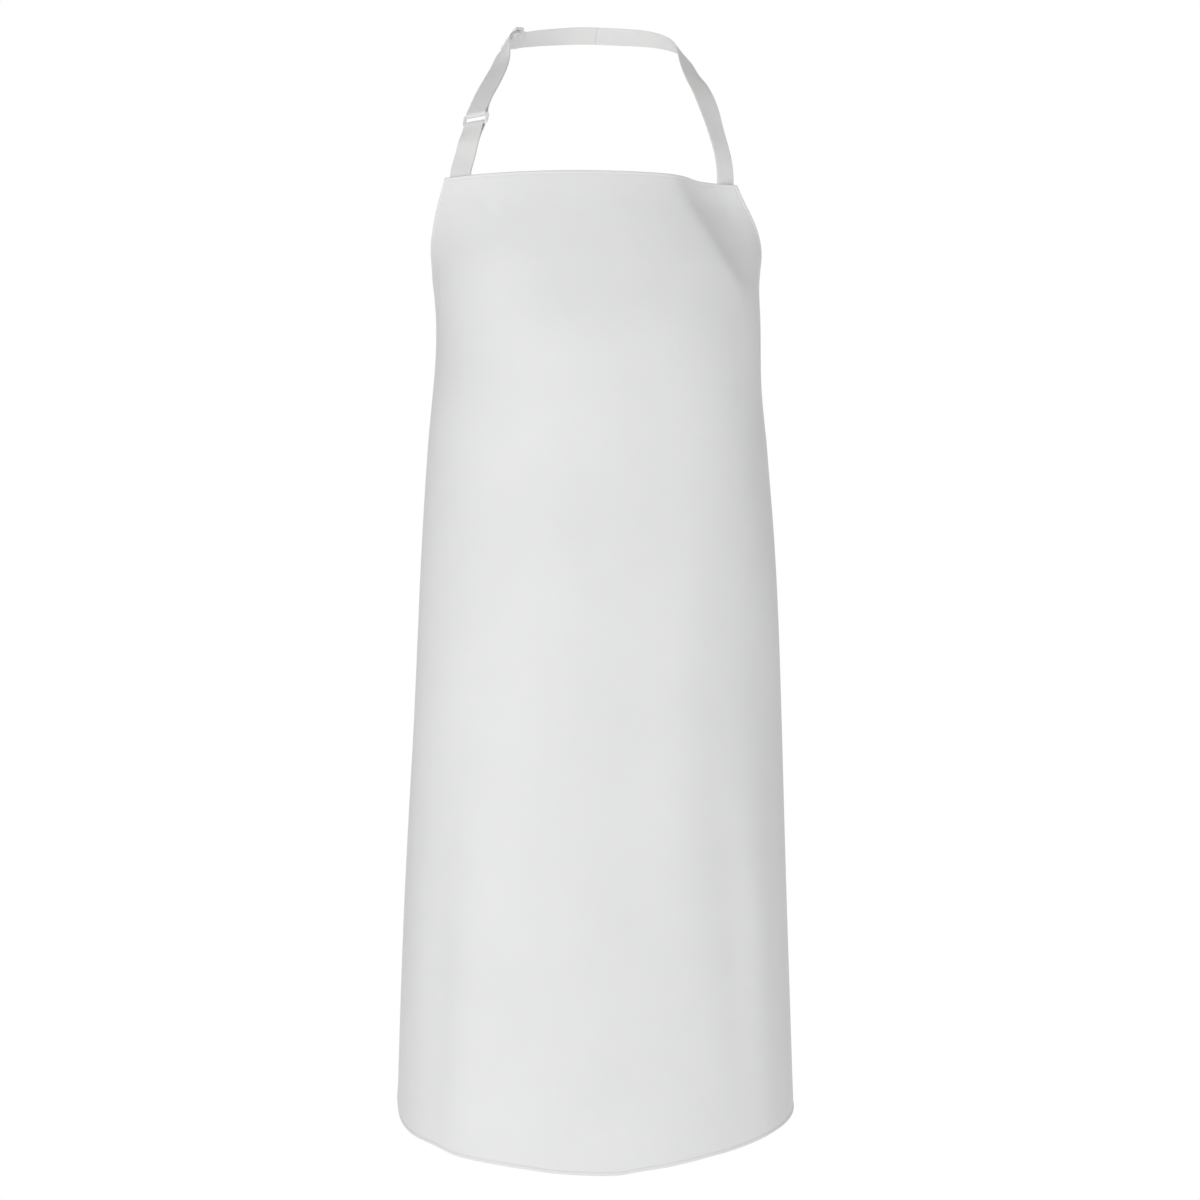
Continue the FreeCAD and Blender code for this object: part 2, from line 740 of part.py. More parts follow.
def tie_frames(direction):
    """Tape sewn behind the waist corner and led round the back to the knot."""
    upright = Vector(0.0, 0.0, 1.0)
    frames = []
    for inset in (36.0, 24.0, 12.0, 2.0):
        across = direction * (half_panel - inset)
        frames.append((cloth_point(across, tie_level, sewn_lift), upright))
    start = frames[-1][0]
    end = knot_centre + Vector(direction * (knot_width / 2.0 + 1.0), -tie_inset, 0.0)
    ahead = (frames[-1][0] - frames[-2][0]).normalize()
    bend = start + ahead * 22.0
    for part in (0.25, 0.5, 0.75, 1.0):
        here = (start * (1.0 - part) ** 2 + bend * (2.0 * part * (1.0 - part))
                + end * part ** 2)
        frames.append((here, upright))
    return frames


def loop_frames(direction):
    """One open loop of the bow, hanging out and down from the knot."""
    outline = [(18.0, 4.0), (34.0, 9.0), (56.0, 5.0), (76.0, -10.0), (87.0, -31.0),
               (82.0, -48.0), (67.0, -50.0), (48.0, -38.0), (31.0, -21.0), (18.0, -9.0)]
    return [(knot_centre + Vector(direction * x, bow_outset, z), Vector(0.0, 1.0, 0.0))
            for x, z in outline]


def tail_frames(direction):
    """One tail of the bow, hanging down with a slight turn."""
    frames = []
    steps = 8
    for step in range(steps + 1):
        part = step / steps
        drop = knot_height / 2.0 + 3.0 + 235.0 * part
        sideways = direction * (7.0 + 30.0 * part ** 1.2)
        outward = direction * (2.5 + 4.0 * math.sin(3.0 * part))
        turn = direction * (0.15 + 0.5 * part)
        frames.append((knot_centre + Vector(sideways, outward, -drop),
                       Vector(math.cos(turn), math.sin(turn), 0.0)))
    return frames


for side_name, direction in (("left", 1.0), ("right", -1.0)):
    add_node("waist_tie_" + side_name, tape_solid(tie_frames(direction), tape_width, tape))
    add_node("bow_loop_" + side_name, tape_solid(loop_frames(direction), tape_width, tape))
    add_node("tie_tail_" + side_name, tape_solid(tail_frames(direction), tape_width, tape))

knot = doc.addObject("Part::Box", "knot_block")
knot.setExpression("Length", "Dimensions.knot_width")
knot.setExpression("Width", "Dimensions.knot_depth")
knot.setExpression("Height", "Dimensions.knot_height")
doc.recompute()
rounded_knot = doc.addObject("Part::Fillet", "bow_knot")
rounded_knot.Label = "bow_knot"
rounded_knot.Base = knot
rounded_knot.Edges = [(number, 7.0, 7.0) for number in range(1, 13)]
rounded_knot.Placement = FreeCAD.Placement(
    knot_centre - Vector(knot_width, knot_depth, knot_height) * 0.5, FreeCAD.Rotation())
nodes.append(rounded_knot)

# ---------------------------------------------------------------- stitching

thread = size("thread_thickness")
thread_gap = size("thread_gap")


def thread_run(start, end, steps=6):
    """Raised thread on the front of the cloth between two flat positions."""
    length = math.hypot(end[0] - start[0], end[1] - start[1])
    side_x = -(end[1] - start[1]) / length * thread
    side_z = (end[0] - start[0]) / length * thread

    def position(column, row):
        aside = 2.0 * row - 1.0
        return (start[0] + (end[0] - start[0]) * column + side_x * aside,
                start[1] + (end[1] - start[1]) * column + side_z * aside)

    low = cloth / 2.0 + thread_gap
    return cloth_patch(position, steps, 3, low, low + thread)


def box_stitch(first_across, last_across, low_level, high_level):
    """Four thread runs round a rectangle, with open corners."""
    clear = 2.0 * thread
    return Part.makeCompound([
        thread_run((first_across + clear, low_level), (last_across - clear, low_level)),
        thread_run((first_across + clear, high_level), (last_across - clear, high_level)),
        thread_run((first_across, low_level + clear), (first_across, high_level - clear)),
        thread_run((last_across, low_level + clear), (last_across, high_level - clear)),
    ])


def thread_across(station, lift):
    """Thread row across the webbing of the neck loop."""
    centre, along, face, across = loop_frame(station)
    reach = tape_width / 2.0 - 3.0
    frames = [(centre + face * lift + across * (reach * step), along)
              for step in (-1.0, -0.5, 0.0, 0.5, 1.0)]
    return tape_solid(frames, 2.0 * thread, thread)


for side_name, direction in (("left", 1.0), ("right", -1.0)):
    strap_place = strap_places[side_name]
    strap_half = tape_width / 2.0 - 2.5
    bib_end = bib_edge_level(strap_place)
    add_node("bib_stitch_" + side_name,
             box_stitch(strap_place - strap_half, strap_place + strap_half,
                        bib_end - sewn_length + 3.0, bib_end - 3.0))
    tie_place = direction * (half_panel - 22.5)
    add_node("tie_stitch_" + side_name,
             box_stitch(tie_place - 10.5, tie_place + 10.5,
                        tie_level - tape_width / 2.0 + 3.0,
                        tie_level + tape_width / 2.0 - 3.0))

stitch_lift = tape / 2.0 + thread_gap + thread / 2.0
add_node("ring_tab_stitch", thread_across(ring_station + 21.0, 0.25 + stitch_lift))
add_node("strap_end_stitch",
         thread_across(slider_station + 13.0, -3.05 - stitch_lift))

# ---------------------------------------------------------------- checks and export

doc.recompute()
for item in doc.Objects:
    for word in item.State:
        if word in ("Invalid", "Error"):
            raise ValueError("%s is %s" % (item.Label, word))
for node in nodes:
    shape = node.Shape
    if shape.isNull() or not shape.isValid():
        raise ValueError("%s has no valid shape" % node.Label)
    if shape.Volume <= 0.0 or not shape.Solids:
        raise ValueError("%s is not a solid" % node.Label)
for node in nodes:
    node.Shape.exportStep("parts/%s.step" % node.Label)
    box = node.Shape.BoundBox
    print("%-20s volume %10.1f mm3  x %7.1f %7.1f  y %7.1f %7.1f  z %8.1f %8.1f" % (
        node.Label, node.Shape.Volume, box.XMin, box.XMax, box.YMin, box.YMax,
        box.ZMin, box.ZMax))
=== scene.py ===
import math

import bpy
import numpy as np
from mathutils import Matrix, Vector


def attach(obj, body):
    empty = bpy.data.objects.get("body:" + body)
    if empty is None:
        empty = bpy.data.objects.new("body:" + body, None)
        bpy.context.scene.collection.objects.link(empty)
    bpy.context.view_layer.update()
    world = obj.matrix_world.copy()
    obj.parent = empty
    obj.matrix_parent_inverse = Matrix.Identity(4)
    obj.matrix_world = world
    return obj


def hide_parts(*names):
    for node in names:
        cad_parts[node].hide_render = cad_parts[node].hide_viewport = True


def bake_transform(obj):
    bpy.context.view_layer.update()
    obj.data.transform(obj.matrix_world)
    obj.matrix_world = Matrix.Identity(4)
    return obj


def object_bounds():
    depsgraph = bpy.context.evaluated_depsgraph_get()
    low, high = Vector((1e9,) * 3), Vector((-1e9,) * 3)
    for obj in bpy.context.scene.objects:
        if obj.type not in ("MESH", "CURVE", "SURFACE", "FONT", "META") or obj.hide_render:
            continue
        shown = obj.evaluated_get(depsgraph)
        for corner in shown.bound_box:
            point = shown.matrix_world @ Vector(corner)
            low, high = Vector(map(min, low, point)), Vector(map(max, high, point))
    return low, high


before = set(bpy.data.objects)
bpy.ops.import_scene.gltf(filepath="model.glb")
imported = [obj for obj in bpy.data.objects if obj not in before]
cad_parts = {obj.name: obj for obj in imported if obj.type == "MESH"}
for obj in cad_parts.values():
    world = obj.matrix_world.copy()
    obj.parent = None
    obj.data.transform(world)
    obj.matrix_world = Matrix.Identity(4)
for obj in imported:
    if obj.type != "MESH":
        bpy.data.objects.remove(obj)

# Butcher apron in its worn shape.  Tables of lengths are in millimetres, as in the CAD
# part, and MM turns them into metres.  "left" is the wearer's left, at +X.

MM = 0.001
cad_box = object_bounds()
SIDES = (("left", 1.0), ("right", -1.0))
TURN = 2.0 * math.pi

# ---------------------------------------------------------------- shape of the worn cloth

BIB_TOP = -177.0
BIB_END_DROP = 4.0
WAIST_CORNER = -375.0
HEM = -1243.0
HALF_BIB = 172.5
HALF_PANEL = 400.0
HEM_SWEEP = 74.0
HEM_CORNER_RADIUS = 120.0
ARMHOLE_STRAIGHTNESS = 0.45
CORNER_TURN = math.radians(42.0)
CORNER_ACROSS = HALF_PANEL - HEM_CORNER_RADIUS * (1.0 - math.sin(CORNER_TURN))
CLOTH_HALF = 0.45

# Level, half width, depth to the widest line, depth behind it, front y, shift, squareness.
SECTIONS = np.array([
    (-160.0, 252.0, 212.0, 100.0, -187.0, -13.0, 2.0),
    (-200.0, 218.0, 172.0, 100.0, -193.0, -9.0, 2.05),
    (-240.0, 193.0, 142.0, 105.0, -201.0, -3.5, 2.2),
    (-280.0, 183.0, 128.0, 108.0, -209.0, -1.0, 2.3),
    (-360.0, 178.5, 134.0, 108.0, -219.0, -1.0, 2.35),
    (-470.0, 186.5, 136.0, 112.0, -221.0, 0.0, 2.35),
    (-640.0, 197.0, 146.0, 120.0, -231.0, 0.0, 2.35),
    (-1000.0, 212.5, 158.0, 130.0, -243.0, -2.0, 2.35),
    (-1260.0, 220.0, 164.0, 134.0, -249.0, -1.5, 2.35),
])


def monotone(knots, values, wanted):
    """Monotone cubic through rising knots, evaluated at an array of places."""
    knots = np.asarray(knots, float)
    values = np.asarray(values, float)
    steps = np.diff(knots)
    slopes = np.diff(values) / steps
    tangents = np.zeros(len(knots))
    tangents[0] = slopes[0]
    tangents[-1] = slopes[-1]
    for i in range(1, len(slopes)):
        if slopes[i - 1] * slopes[i] > 0.0:
            before = 2.0 * steps[i] + steps[i - 1]
            after = steps[i] + 2.0 * steps[i - 1]
            tangents[i] = (before + after) / (before / slopes[i - 1] + after / slopes[i])
    wanted = np.clip(wanted, knots[0], knots[-1])
    i = np.clip(np.searchsorted(knots, wanted, side="right") - 1, 0, len(steps) - 1)
    part = (wanted - knots[i]) / steps[i]
    return (values[i] * (1.0 + 2.0 * part) * (1.0 - part) ** 2
            + tangents[i] * steps[i] * part * (1.0 - part) ** 2
            + values[i + 1] * part ** 2 * (3.0 - 2.0 * part)
            + tangents[i + 1] * steps[i] * part ** 2 * (part - 1.0))


def unit(vectors):
    return vectors / np.linalg.norm(vectors, axis=-1, keepdims=True)


def path_lengths(points):
    """Length travelled along a row of points, from zero at the first."""
    steps = np.linalg.norm(np.diff(points, axis=0), axis=1)
    return np.concatenate([[0.0], steps.cumsum()])


def smooth_step(value, low, high):
    """Rise from 0 at low to 1 at high, level at both ends."""
    part = np.clip((value - low) / (high - low), 0.0, 1.0)
    return part * part * (3.0 - 2.0 * part)


SECTION_STEPS = 300
CHUNK = 400
NORMAL_STEP = 4.0


def cloth_surface(across, level):
    """Points of the cloth's middle surface; across is the arc length from the centre."""
    across, level = np.broadcast_arrays(np.asarray(across, float), np.asarray(level, float))
    shape = across.shape
    across = across.ravel()
    level = level.ravel()
    half, front, back, front_y, shift, square = (
        monotone(SECTIONS[::-1, 0], SECTIONS[::-1, column], level)
        for column in range(1, 7))
    turns = np.linspace(0.0, math.pi, SECTION_STEPS + 1)
    sines = np.abs(np.sin(turns))
    cosines = np.abs(np.cos(turns))
    points = np.empty((len(across), 3))
    for start in range(0, len(across), CHUNK):
        part = slice(start, start + CHUNK)
        power = (2.0 / square[part])[:, None]
        x = half[part, None] * sines ** power
        reach = cosines ** power
        depth = np.where(turns <= math.pi / 2.0, -front[part, None], back[part, None])
        y = (front_y + front)[part, None] + depth * reach
        lengths = np.hypot(np.diff(x, axis=1), np.diff(y, axis=1)).cumsum(axis=1)
        lengths = np.hstack([np.zeros((len(x), 1)), lengths])
        for k in range(len(x)):
            wanted = abs(across[start + k])
            turn = np.interp(wanted, lengths[k], turns)
            exponent = power[k, 0]
            out = half[start + k] * math.sin(turn) ** exponent
            run = abs(math.cos(turn)) ** exponent
            if turn <= math.pi / 2.0:
                deep = front_y[start + k] + front[start + k] * (1.0 - run)
            else:
                deep = front_y[start + k] + front[start + k] + back[start + k] * run
            points[start + k] = (math.copysign(out, across[start + k]) + shift[start + k],
                                 deep, level[start + k])
    return points.reshape(shape + (3,))


def cloth_normal(across, level):
    """Unit normals of the cloth, away from the wearer."""
    step = NORMAL_STEP
    sideways = cloth_surface(across + step, level) - cloth_surface(across - step, level)
    upward = cloth_surface(across, level + step) - cloth_surface(across, level - step)
    return unit(np.cross(sideways, upward))


def bib_edge_level(across):
    """Level of the top edge, which drops a little towards its ends."""
    return BIB_TOP - BIB_END_DROP * (across / HALF_BIB) ** 2


BIB_END = bib_edge_level(HALF_BIB)


def hem_edge_level(across):
    """Level of the bottom edge: a shallow sweep that ends in rounded corners."""
    across = np.abs(across)
    outside = np.clip(across - (HALF_PANEL - HEM_CORNER_RADIUS), 0.0, HEM_CORNER_RADIUS)
    return (HEM + HEM_SWEEP * (across / HALF_PANEL) ** 2 + HEM_CORNER_RADIUS
            - np.sqrt(HEM_CORNER_RADIUS ** 2 - outside ** 2))


CORNER_LEVEL = float(hem_edge_level(CORNER_ACROSS))
corner_turns = np.linspace(0.0, math.pi / 2.0, 400)
corner_places = HALF_PANEL - HEM_CORNER_RADIUS * (1.0 - np.sin(corner_turns))
corner_levels = hem_edge_level(corner_places)


def side_edge_across(level):
    """Half width of the flat panel: armhole, straight side, rounded corner."""
    level = np.asarray(level, float)
    drop = np.clip((BIB_END - level) / (BIB_END - WAIST_CORNER), 0.0, 1.0)
    spread = ARMHOLE_STRAIGHTNESS * drop + (1.0 - ARMHOLE_STRAIGHTNESS) * drop ** 2
    armhole = HALF_BIB + (HALF_PANEL - HALF_BIB) * spread
    return np.where(level > WAIST_CORNER, armhole,
                    np.interp(level, corner_levels, corner_places))


# ---------------------------------------------------------------- folds of the cloth

# Soft folds: across, level, half reach across, half reach along, lean, height.
FOLDS = [
    (28.0, -740.0, 34.0, 190.0, 0.06, -1.6),
    (78.0, -760.0, 30.0, 260.0, 0.05, 1.3),
    (-60.0, -560.0, 46.0, 190.0, -0.06, 1.4),
    (-128.0, -700.0, 40.0, 300.0, 0.04, -1.6),
    (136.0, -1010.0, 26.0, 170.0, -0.08, -2.4),
    (176.0, -1050.0, 26.0, 210.0, -0.05, 2.2),
    (-196.0, -1060.0, 22.0, 190.0, 0.05, -2.6),
    (-160.0, -1090.0, 24.0, 200.0, 0.03, 2.0),
    (-20.0, -1080.0, 50.0, 220.0, 0.0, 1.5),
    (250.0, -560.0, 40.0, 220.0, 0.1, 2.0),
    (300.0, -860.0, 34.0, 320.0, 0.03, -3.0),
    (-300.0, -860.0, 34.0, 320.0, -0.03, -3.0),
    (345.0, -700.0, 26.0, 260.0, 0.0, 2.6),
    (-345.0, -720.0, 26.0, 260.0, 0.0, 2.6),
    (-235.0, -290.0, 75.0, 110.0, 0.0, -4.2),
    (-236.0, -312.0, 9.0, 26.0, 0.25, -1.8),
    (-222.0, -306.0, 12.0, 34.0, 0.25, 0.9),
    (200.0, -345.0, 30.0, 75.0, 0.0, 5.5),
    (205.0, -475.0, 30.0, 70.0, 0.0, -2.5),
]
# Line where the cloth bends back, from the strap on the wearer's left to the waist tie:
# level, across, depth of the hollow near it and far from it, width, drop of the side edge.
BEND_LINE = np.array([
    (-470.0, 186.0, 0.0, 0.0, 110.0, 0.0),
    (-400.0, 178.0, 0.5, 0.0, 110.0, 0.0),
    (-340.0, 168.0, 2.0, 0.0, 110.0, 0.0),
    (-303.0, 160.0, 4.0, 0.0, 112.0, 0.5),
    (-273.0, 138.0, 6.5, 0.5, 108.0, 2.0),
    (-244.0, 119.0, 7.0, 2.0, 99.0, 3.0),
    (-212.0, 101.0, 6.0, 5.5, 90.0, 3.5),
    (-177.0, 84.0, 5.5, 8.0, 88.5, 3.0),
])
BEND_SOFTNESS = 5.0
SOFT_LIMIT = 30.0
# Makes the highest value of part * (1 - part) ** 2 one.
HOLLOW_SCALE = 27.0 / 4.0


def bent_back(across, level):
    """Hollow of the cloth between the bend line and the side edge."""
    place, near, far, width, drop = (
        monotone(BEND_LINE[:, 0], BEND_LINE[:, column], level) for column in range(1, 6))
    beyond = (across - place) / BEND_SOFTNESS
    rounded = np.log1p(np.exp(np.clip(beyond, -SOFT_LIMIT, SOFT_LIMIT)))
    beyond = BEND_SOFTNESS * np.where(beyond > SOFT_LIMIT, beyond, rounded)
    part = np.clip(beyond / width, 0.0, 1.0)
    hollow = HOLLOW_SCALE * part * (1.0 - part) * (near * (1.0 - part) + far * part)
    return -hollow - drop * part


# Faint tension line from the strap on the wearer's right: a place on it (across, level),
# the direction across it, its half width and depth, and where it fades out.
TENSION_PLACE = (-140.0, -195.0)
TENSION_NORMAL = (0.80, 0.60)
TENSION_WIDTH = 7.0
TENSION_DEPTH = 0.8
TENSION_LEVELS = (-270.0, -205.0)
TENSION_SIDES = (100.0, 125.0)


def cloth_relief(across, level):
    """How far the cloth stands off its even shape, in millimetres."""
    across, level = np.broadcast_arrays(np.asarray(across, float), np.asarray(level, float))
    lift = bent_back(across, level)
    for place, height, width, reach, lean, amount in FOLDS:
        aside = across - place - lean * (level - height)
        lift = lift + amount * np.exp(-(aside / width) ** 2 - ((level - height) / reach) ** 2)
    pull = ((across - TENSION_PLACE[0]) * TENSION_NORMAL[0]
            + (level - TENSION_PLACE[1]) * TENSION_NORMAL[1])
    return lift - (TENSION_DEPTH * np.exp(-(pull / TENSION_WIDTH) ** 2)
                   * smooth_step(level, *TENSION_LEVELS) * smooth_step(-across, *TENSION_SIDES))


# Rise of the hanging bottom edge: across, height.
HEM_RISE = np.array([
    (-400.0, 3.0), (-240.0, 4.0), (-205.0, 5.0), (-170.0, 2.5), (-130.0, 2.5), (-100.0, 2.0),
    (-60.0, 0.0), (0.0, -1.0), (28.0, 2.2), (57.0, 4.5), (84.0, 7.2), (108.0, 9.5),
    (128.0, 10.5), (160.0, 12.5), (200.0, 15.0), (400.0, 15.5),
])
HEM_RISE_START = 800.0
STRAP_SAG = 2.6
SAG_SIDE = (95.0, 125.0)
SAG_REACH = 38.0


def settled_level(across, level):
    """Level after the bib has sagged at one strap and the hem has been drawn up."""
    sag = STRAP_SAG * smooth_step(across, *SAG_SIDE)
    rise = monotone(HEM_RISE[:, 0], HEM_RISE[:, 1], across)
    return (level - sag * np.exp((level - BIB_TOP) / SAG_REACH)
            + rise * smooth_step(-level, HEM_RISE_START, -HEM))


# ---------------------------------------------------------------- mesh helpers


def add_mesh(name, points, faces, uv=None):
    """Smooth-shaded mesh from points in metres, with one weave place for each point."""
    mesh = bpy.data.meshes.new(name)
    mesh.from_pydata([tuple(p) for p in points], [], [tuple(f) for f in faces])
    mesh.polygons.foreach_set("use_smooth", [True] * len(mesh.polygons))
    if uv is not None:
        layer = mesh.uv_layers.new(name="weave")
        corners = np.array([c for f in faces for c in f])
        layer.data.foreach_set("uv", np.asarray(uv, float)[corners].ravel())
    mesh.validate()
    obj = bpy.data.objects.new(name, mesh)
    bpy.context.scene.collection.objects.link(obj)
    return obj


def tube_faces(rows, count, first=0, flip=False, closed=False):
    """Faces round rows of count points each, with a cap at each end unless it is closed."""
    faces = []
    for r in range(rows if closed else rows - 1):
        near = first + r * count
        far = first + (r + 1) % rows * count
        for s in range(count):
            n = (s + 1) % count
            faces.append((near + s, far + s, far + n, near + n) if flip
                         else (near + s, near + n, far + n, far + s))
    if not closed:
        start = range(first, first + count)
        end = range(first + (rows - 1) * count, first + rows * count)
        faces.append(tuple(start if flip else reversed(start)))
        faces.append(tuple(reversed(end) if flip else end))
    return faces


def finish_piece(obj, body, material, replaces=()):
    """Give a piece its material and slot, the body it rides on and the nodes it replaces."""
    obj.data.materials.append(material)
    if body is not None:
        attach(obj, body)
    if replaces:
        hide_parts(*replaces)
    return obj


# ---------------------------------------------------------------- materials


class Nodes:
    """Short way to build a node material."""

    def __init__(self, name):
        self.material = bpy.data.materials.new(name)
        self.material.use_nodes = True
        self.tree = self.material.node_tree
        self.shader = self.tree.nodes["Principled BSDF"]

    def add(self, kind, **values):
        node = self.tree.nodes.new(kind)
        for key, value in values.items():
            if hasattr(node, key):
                setattr(node, key, value)
            else:
                node.inputs[key].default_value = value
        return node

    def link(self, source, target):
        self.tree.links.new(source, target)

    def set(self, **values):
        for key, value in values.items():
            self.shader.inputs[key.replace("_", " ")].default_value = value


def math_node(nodes, operation, first, second=None):
    """Result of a math node whose inputs are numbers or sockets."""
    node = nodes.add("ShaderNodeMath", operation=operation)
    for place, value in ((0, first), (1, second)):
        if value is None:
            continue
        if isinstance(value, (int, float)):
            node.inputs[place].default_value = value
        else:
            nodes.link(value, node.inputs[place])
    return node.outputs[0]


def wave(nodes, length, pitch):
    """Sine along a length in metres."""
    return math_node(nodes, "SINE", math_node(nodes, "MULTIPLY", length, TURN / pitch))


def noise(nodes, place, **values):
    """Value of a noise texture at a place."""
    texture = nodes.add("ShaderNodeTexNoise", **values)
    nodes.link(place, texture.inputs["Vector"])
    return texture.outputs["Fac"]


def ranged(nodes, factor, low, high):
    """Factor of 0 to 1 spread over low to high."""
    spread = nodes.add("ShaderNodeMapRange")
    spread.inputs["To Min"].default_value = low
    spread.inputs["To Max"].default_value = high
    nodes.link(factor, spread.inputs["Value"])
    return spread.outputs["Result"]


def weave_axes(nodes):
    """Lengths across and along the flat cloth, in metres."""
    uv = nodes.add("ShaderNodeUVMap", uv_map="weave").outputs["UV"]
    split = nodes.add("ShaderNodeSeparateXYZ")
    nodes.link(uv, split.inputs[0])
    return split.outputs[0], split.outputs[1]


def stacked_bumps(nodes, bumps):
    """Chain of bump nodes from (height socket, strength, distance)."""
    normal = None
    for height, strength, distance in bumps:
        bump = nodes.add("ShaderNodeBump")
        bump.inputs["Strength"].default_value = strength
        bump.inputs["Distance"].default_value = distance
        nodes.link(height, bump.inputs["Height"])
        if normal is not None:
            nodes.link(normal, bump.inputs["Normal"])
        normal = bump.outputs["Normal"]
    nodes.link(normal, nodes.shader.inputs["Normal"])


def coloured(nodes, factor, low, high, low_at=0.3, high_at=0.7):
    """Colour that goes from low to high with a factor."""
    ramp = nodes.add("ShaderNodeValToRGB")
    ramp.color_ramp.elements[0].position = low_at
    ramp.color_ramp.elements[0].color = (*low, 1.0)
    ramp.color_ramp.elements[1].position = high_at
    ramp.color_ramp.elements[1].color = (*high, 1.0)
    nodes.link(factor, ramp.inputs["Fac"])
    return ramp.outputs["Color"]


# Painted shade at the turned edge and in the seam groove beside it, as greys from the edge in
# as far as EDGE_REACH millimetres: part, grey.
EDGE_REACH = 10.0
EDGE_SHADE_GREYS = ((0.06, 0.95), (0.12, 1.0), (0.30, 1.0), (0.345, 0.93), (0.41, 0.97), (0.50, 1.0))


def painted_edge_shade(nodes, colour):
    """Painted shade: a greyer line at the very edge and a faint darker line in the seam groove
    beside it, multiplied into the colour.
    """
    edge = nodes.add("ShaderNodeAttribute", attribute_name="edge_distance")
    scaled = math_node(nodes, "DIVIDE", edge.outputs["Fac"], EDGE_REACH)
    shade_ramp = coloured(nodes, scaled, (0.86, 0.86, 0.86), (1.0, 1.0, 1.0), 0.0, 1.0)
    for place, grey in EDGE_SHADE_GREYS:
        shade_ramp.node.color_ramp.elements.new(place).color = (grey, grey, grey, 1.0)
    mix = nodes.add("ShaderNodeMix", data_type="RGBA", blend_type="MULTIPLY")
    mix.inputs[0].default_value = 1.0
    nodes.link(colour, mix.inputs[6])
    nodes.link(shade_ramp, mix.inputs[7])
    return mix.outputs[2]


CLOTH_THREAD = 0.00055


def coated_cloth():
    """White coated cloth: satin film over a fine plain weave."""
    nodes = Nodes("coated_cloth")
    place = nodes.add("ShaderNodeTexCoord").outputs["Object"]
    across, along = weave_axes(nodes)
    weave = math_node(nodes, "MULTIPLY", wave(nodes, across, CLOTH_THREAD),
                      wave(nodes, along, CLOTH_THREAD))
    clouds = noise(nodes, place, Scale=7.0, Detail=4.0, Roughness=0.55)
    ripple = noise(nodes, place, Scale=42.0, Detail=3.0, Roughness=0.5)
    grain = noise(nodes, place, Scale=900.0, Detail=2.0, Roughness=0.6)
    film = coloured(nodes, clouds, (0.785, 0.787, 0.79), (0.82, 0.822, 0.824))
    # Painted shade along the cloth's edge and in its seam groove, multiplied into the film's
    # colour.
    nodes.link(painted_edge_shade(nodes, film), nodes.shader.inputs["Base Color"])
    nodes.link(ranged(nodes, clouds, 0.42, 0.58), nodes.shader.inputs["Roughness"])
    nodes.set(Specular_IOR_Level=0.35, Sheen_Weight=0.08, Sheen_Roughness=0.4)
    stacked_bumps(nodes, [(clouds, 0.35, 0.004), (ripple, 0.25, 0.0006),
                          (weave, 0.22, 0.00008), (grain, 0.3, 0.00006)])
    return nodes.material


# Pitches of the webbing's slanting ribs, warp cords and weft picks, in metres.
TWILL = 0.00125
CORDS = 0.00062
PICKS = 0.0009
TWILL_SLANT = (0.86, 0.51)


def webbing(name, low, high):
    """Twill webbing: slanting ribs across warp cords."""
    nodes = Nodes(name)
    place = nodes.add("ShaderNodeTexCoord").outputs["Object"]
    across, along = weave_axes(nodes)
    slant = math_node(nodes, "ADD", math_node(nodes, "MULTIPLY", across, TWILL_SLANT[0]),
                      math_node(nodes, "MULTIPLY", along, TWILL_SLANT[1]))
    twill = wave(nodes, slant, TWILL)
    cloth = math_node(nodes, "MULTIPLY", wave(nodes, across, CORDS), wave(nodes, along, PICKS))
    fuzz = noise(nodes, place, Scale=1400.0, Detail=2.0, Roughness=0.7)
    patches = noise(nodes, place, Scale=60.0, Detail=3.0, Roughness=0.6)
    ribs = math_node(nodes, "MULTIPLY_ADD", twill, 0.14)
    ribs.node.inputs[2].default_value = 0.38
    mixed = math_node(nodes, "ADD", ribs, math_node(nodes, "MULTIPLY", patches, 0.3))
    nodes.link(coloured(nodes, mixed, low, high, 0.25, 0.8),
               nodes.shader.inputs["Base Color"])
    nodes.set(Roughness=0.78, Specular_IOR_Level=0.25, Sheen_Weight=0.25,
              Sheen_Roughness=0.5)
    stacked_bumps(nodes, [(twill, 0.35, 0.00009), (cloth, 0.2, 0.00004),
                          (fuzz, 0.2, 0.00006)])
    return nodes.material


def white_plastic():
    """Moulded white plastic that lets a little light through."""
    nodes = Nodes("white_plastic")
    place = nodes.add("ShaderNodeTexCoord").outputs["Object"]
    flow = noise(nodes, place, Scale=180.0, Detail=3.0, Roughness=0.55)
    marks = noise(nodes, place, Scale=1600.0, Detail=2.0, Roughness=0.5)
    nodes.link(coloured(nodes, flow, (0.84, 0.845, 0.85), (0.89, 0.893, 0.895)),
               nodes.shader.inputs["Base Color"])
    nodes.link(ranged(nodes, flow, 0.16, 0.34), nodes.shader.inputs["Roughness"])
    nodes.set(IOR=1.5, Coat_Weight=0.2, Coat_Roughness=0.12, Subsurface_Weight=0.1,
              Subsurface_Scale=0.001)
    stacked_bumps(nodes, [(flow, 0.12, 0.0004), (marks, 0.15, 0.00003)])
    return nodes.material


def sewing_thread():
    """Twisted polyester thread."""
    nodes = Nodes("sewing_thread")
    place = nodes.add("ShaderNodeTexCoord").outputs["Object"]
    twist = nodes.add("ShaderNodeTexWave", Scale=900.0, Distortion=1.5, Detail=1.0)
    twist.bands_direction = "DIAGONAL"
    nodes.link(place, twist.inputs["Vector"])
    nodes.link(coloured(nodes, twist.outputs["Fac"], (0.80, 0.80, 0.80),
                        (0.88, 0.88, 0.88)), nodes.shader.inputs["Base Color"])
    nodes.set(Roughness=0.55, Sheen_Weight=0.3, Specular_IOR_Level=0.4)
    stacked_bumps(nodes, [(twist.outputs["Fac"], 0.5, 0.00005)])
    return nodes.material


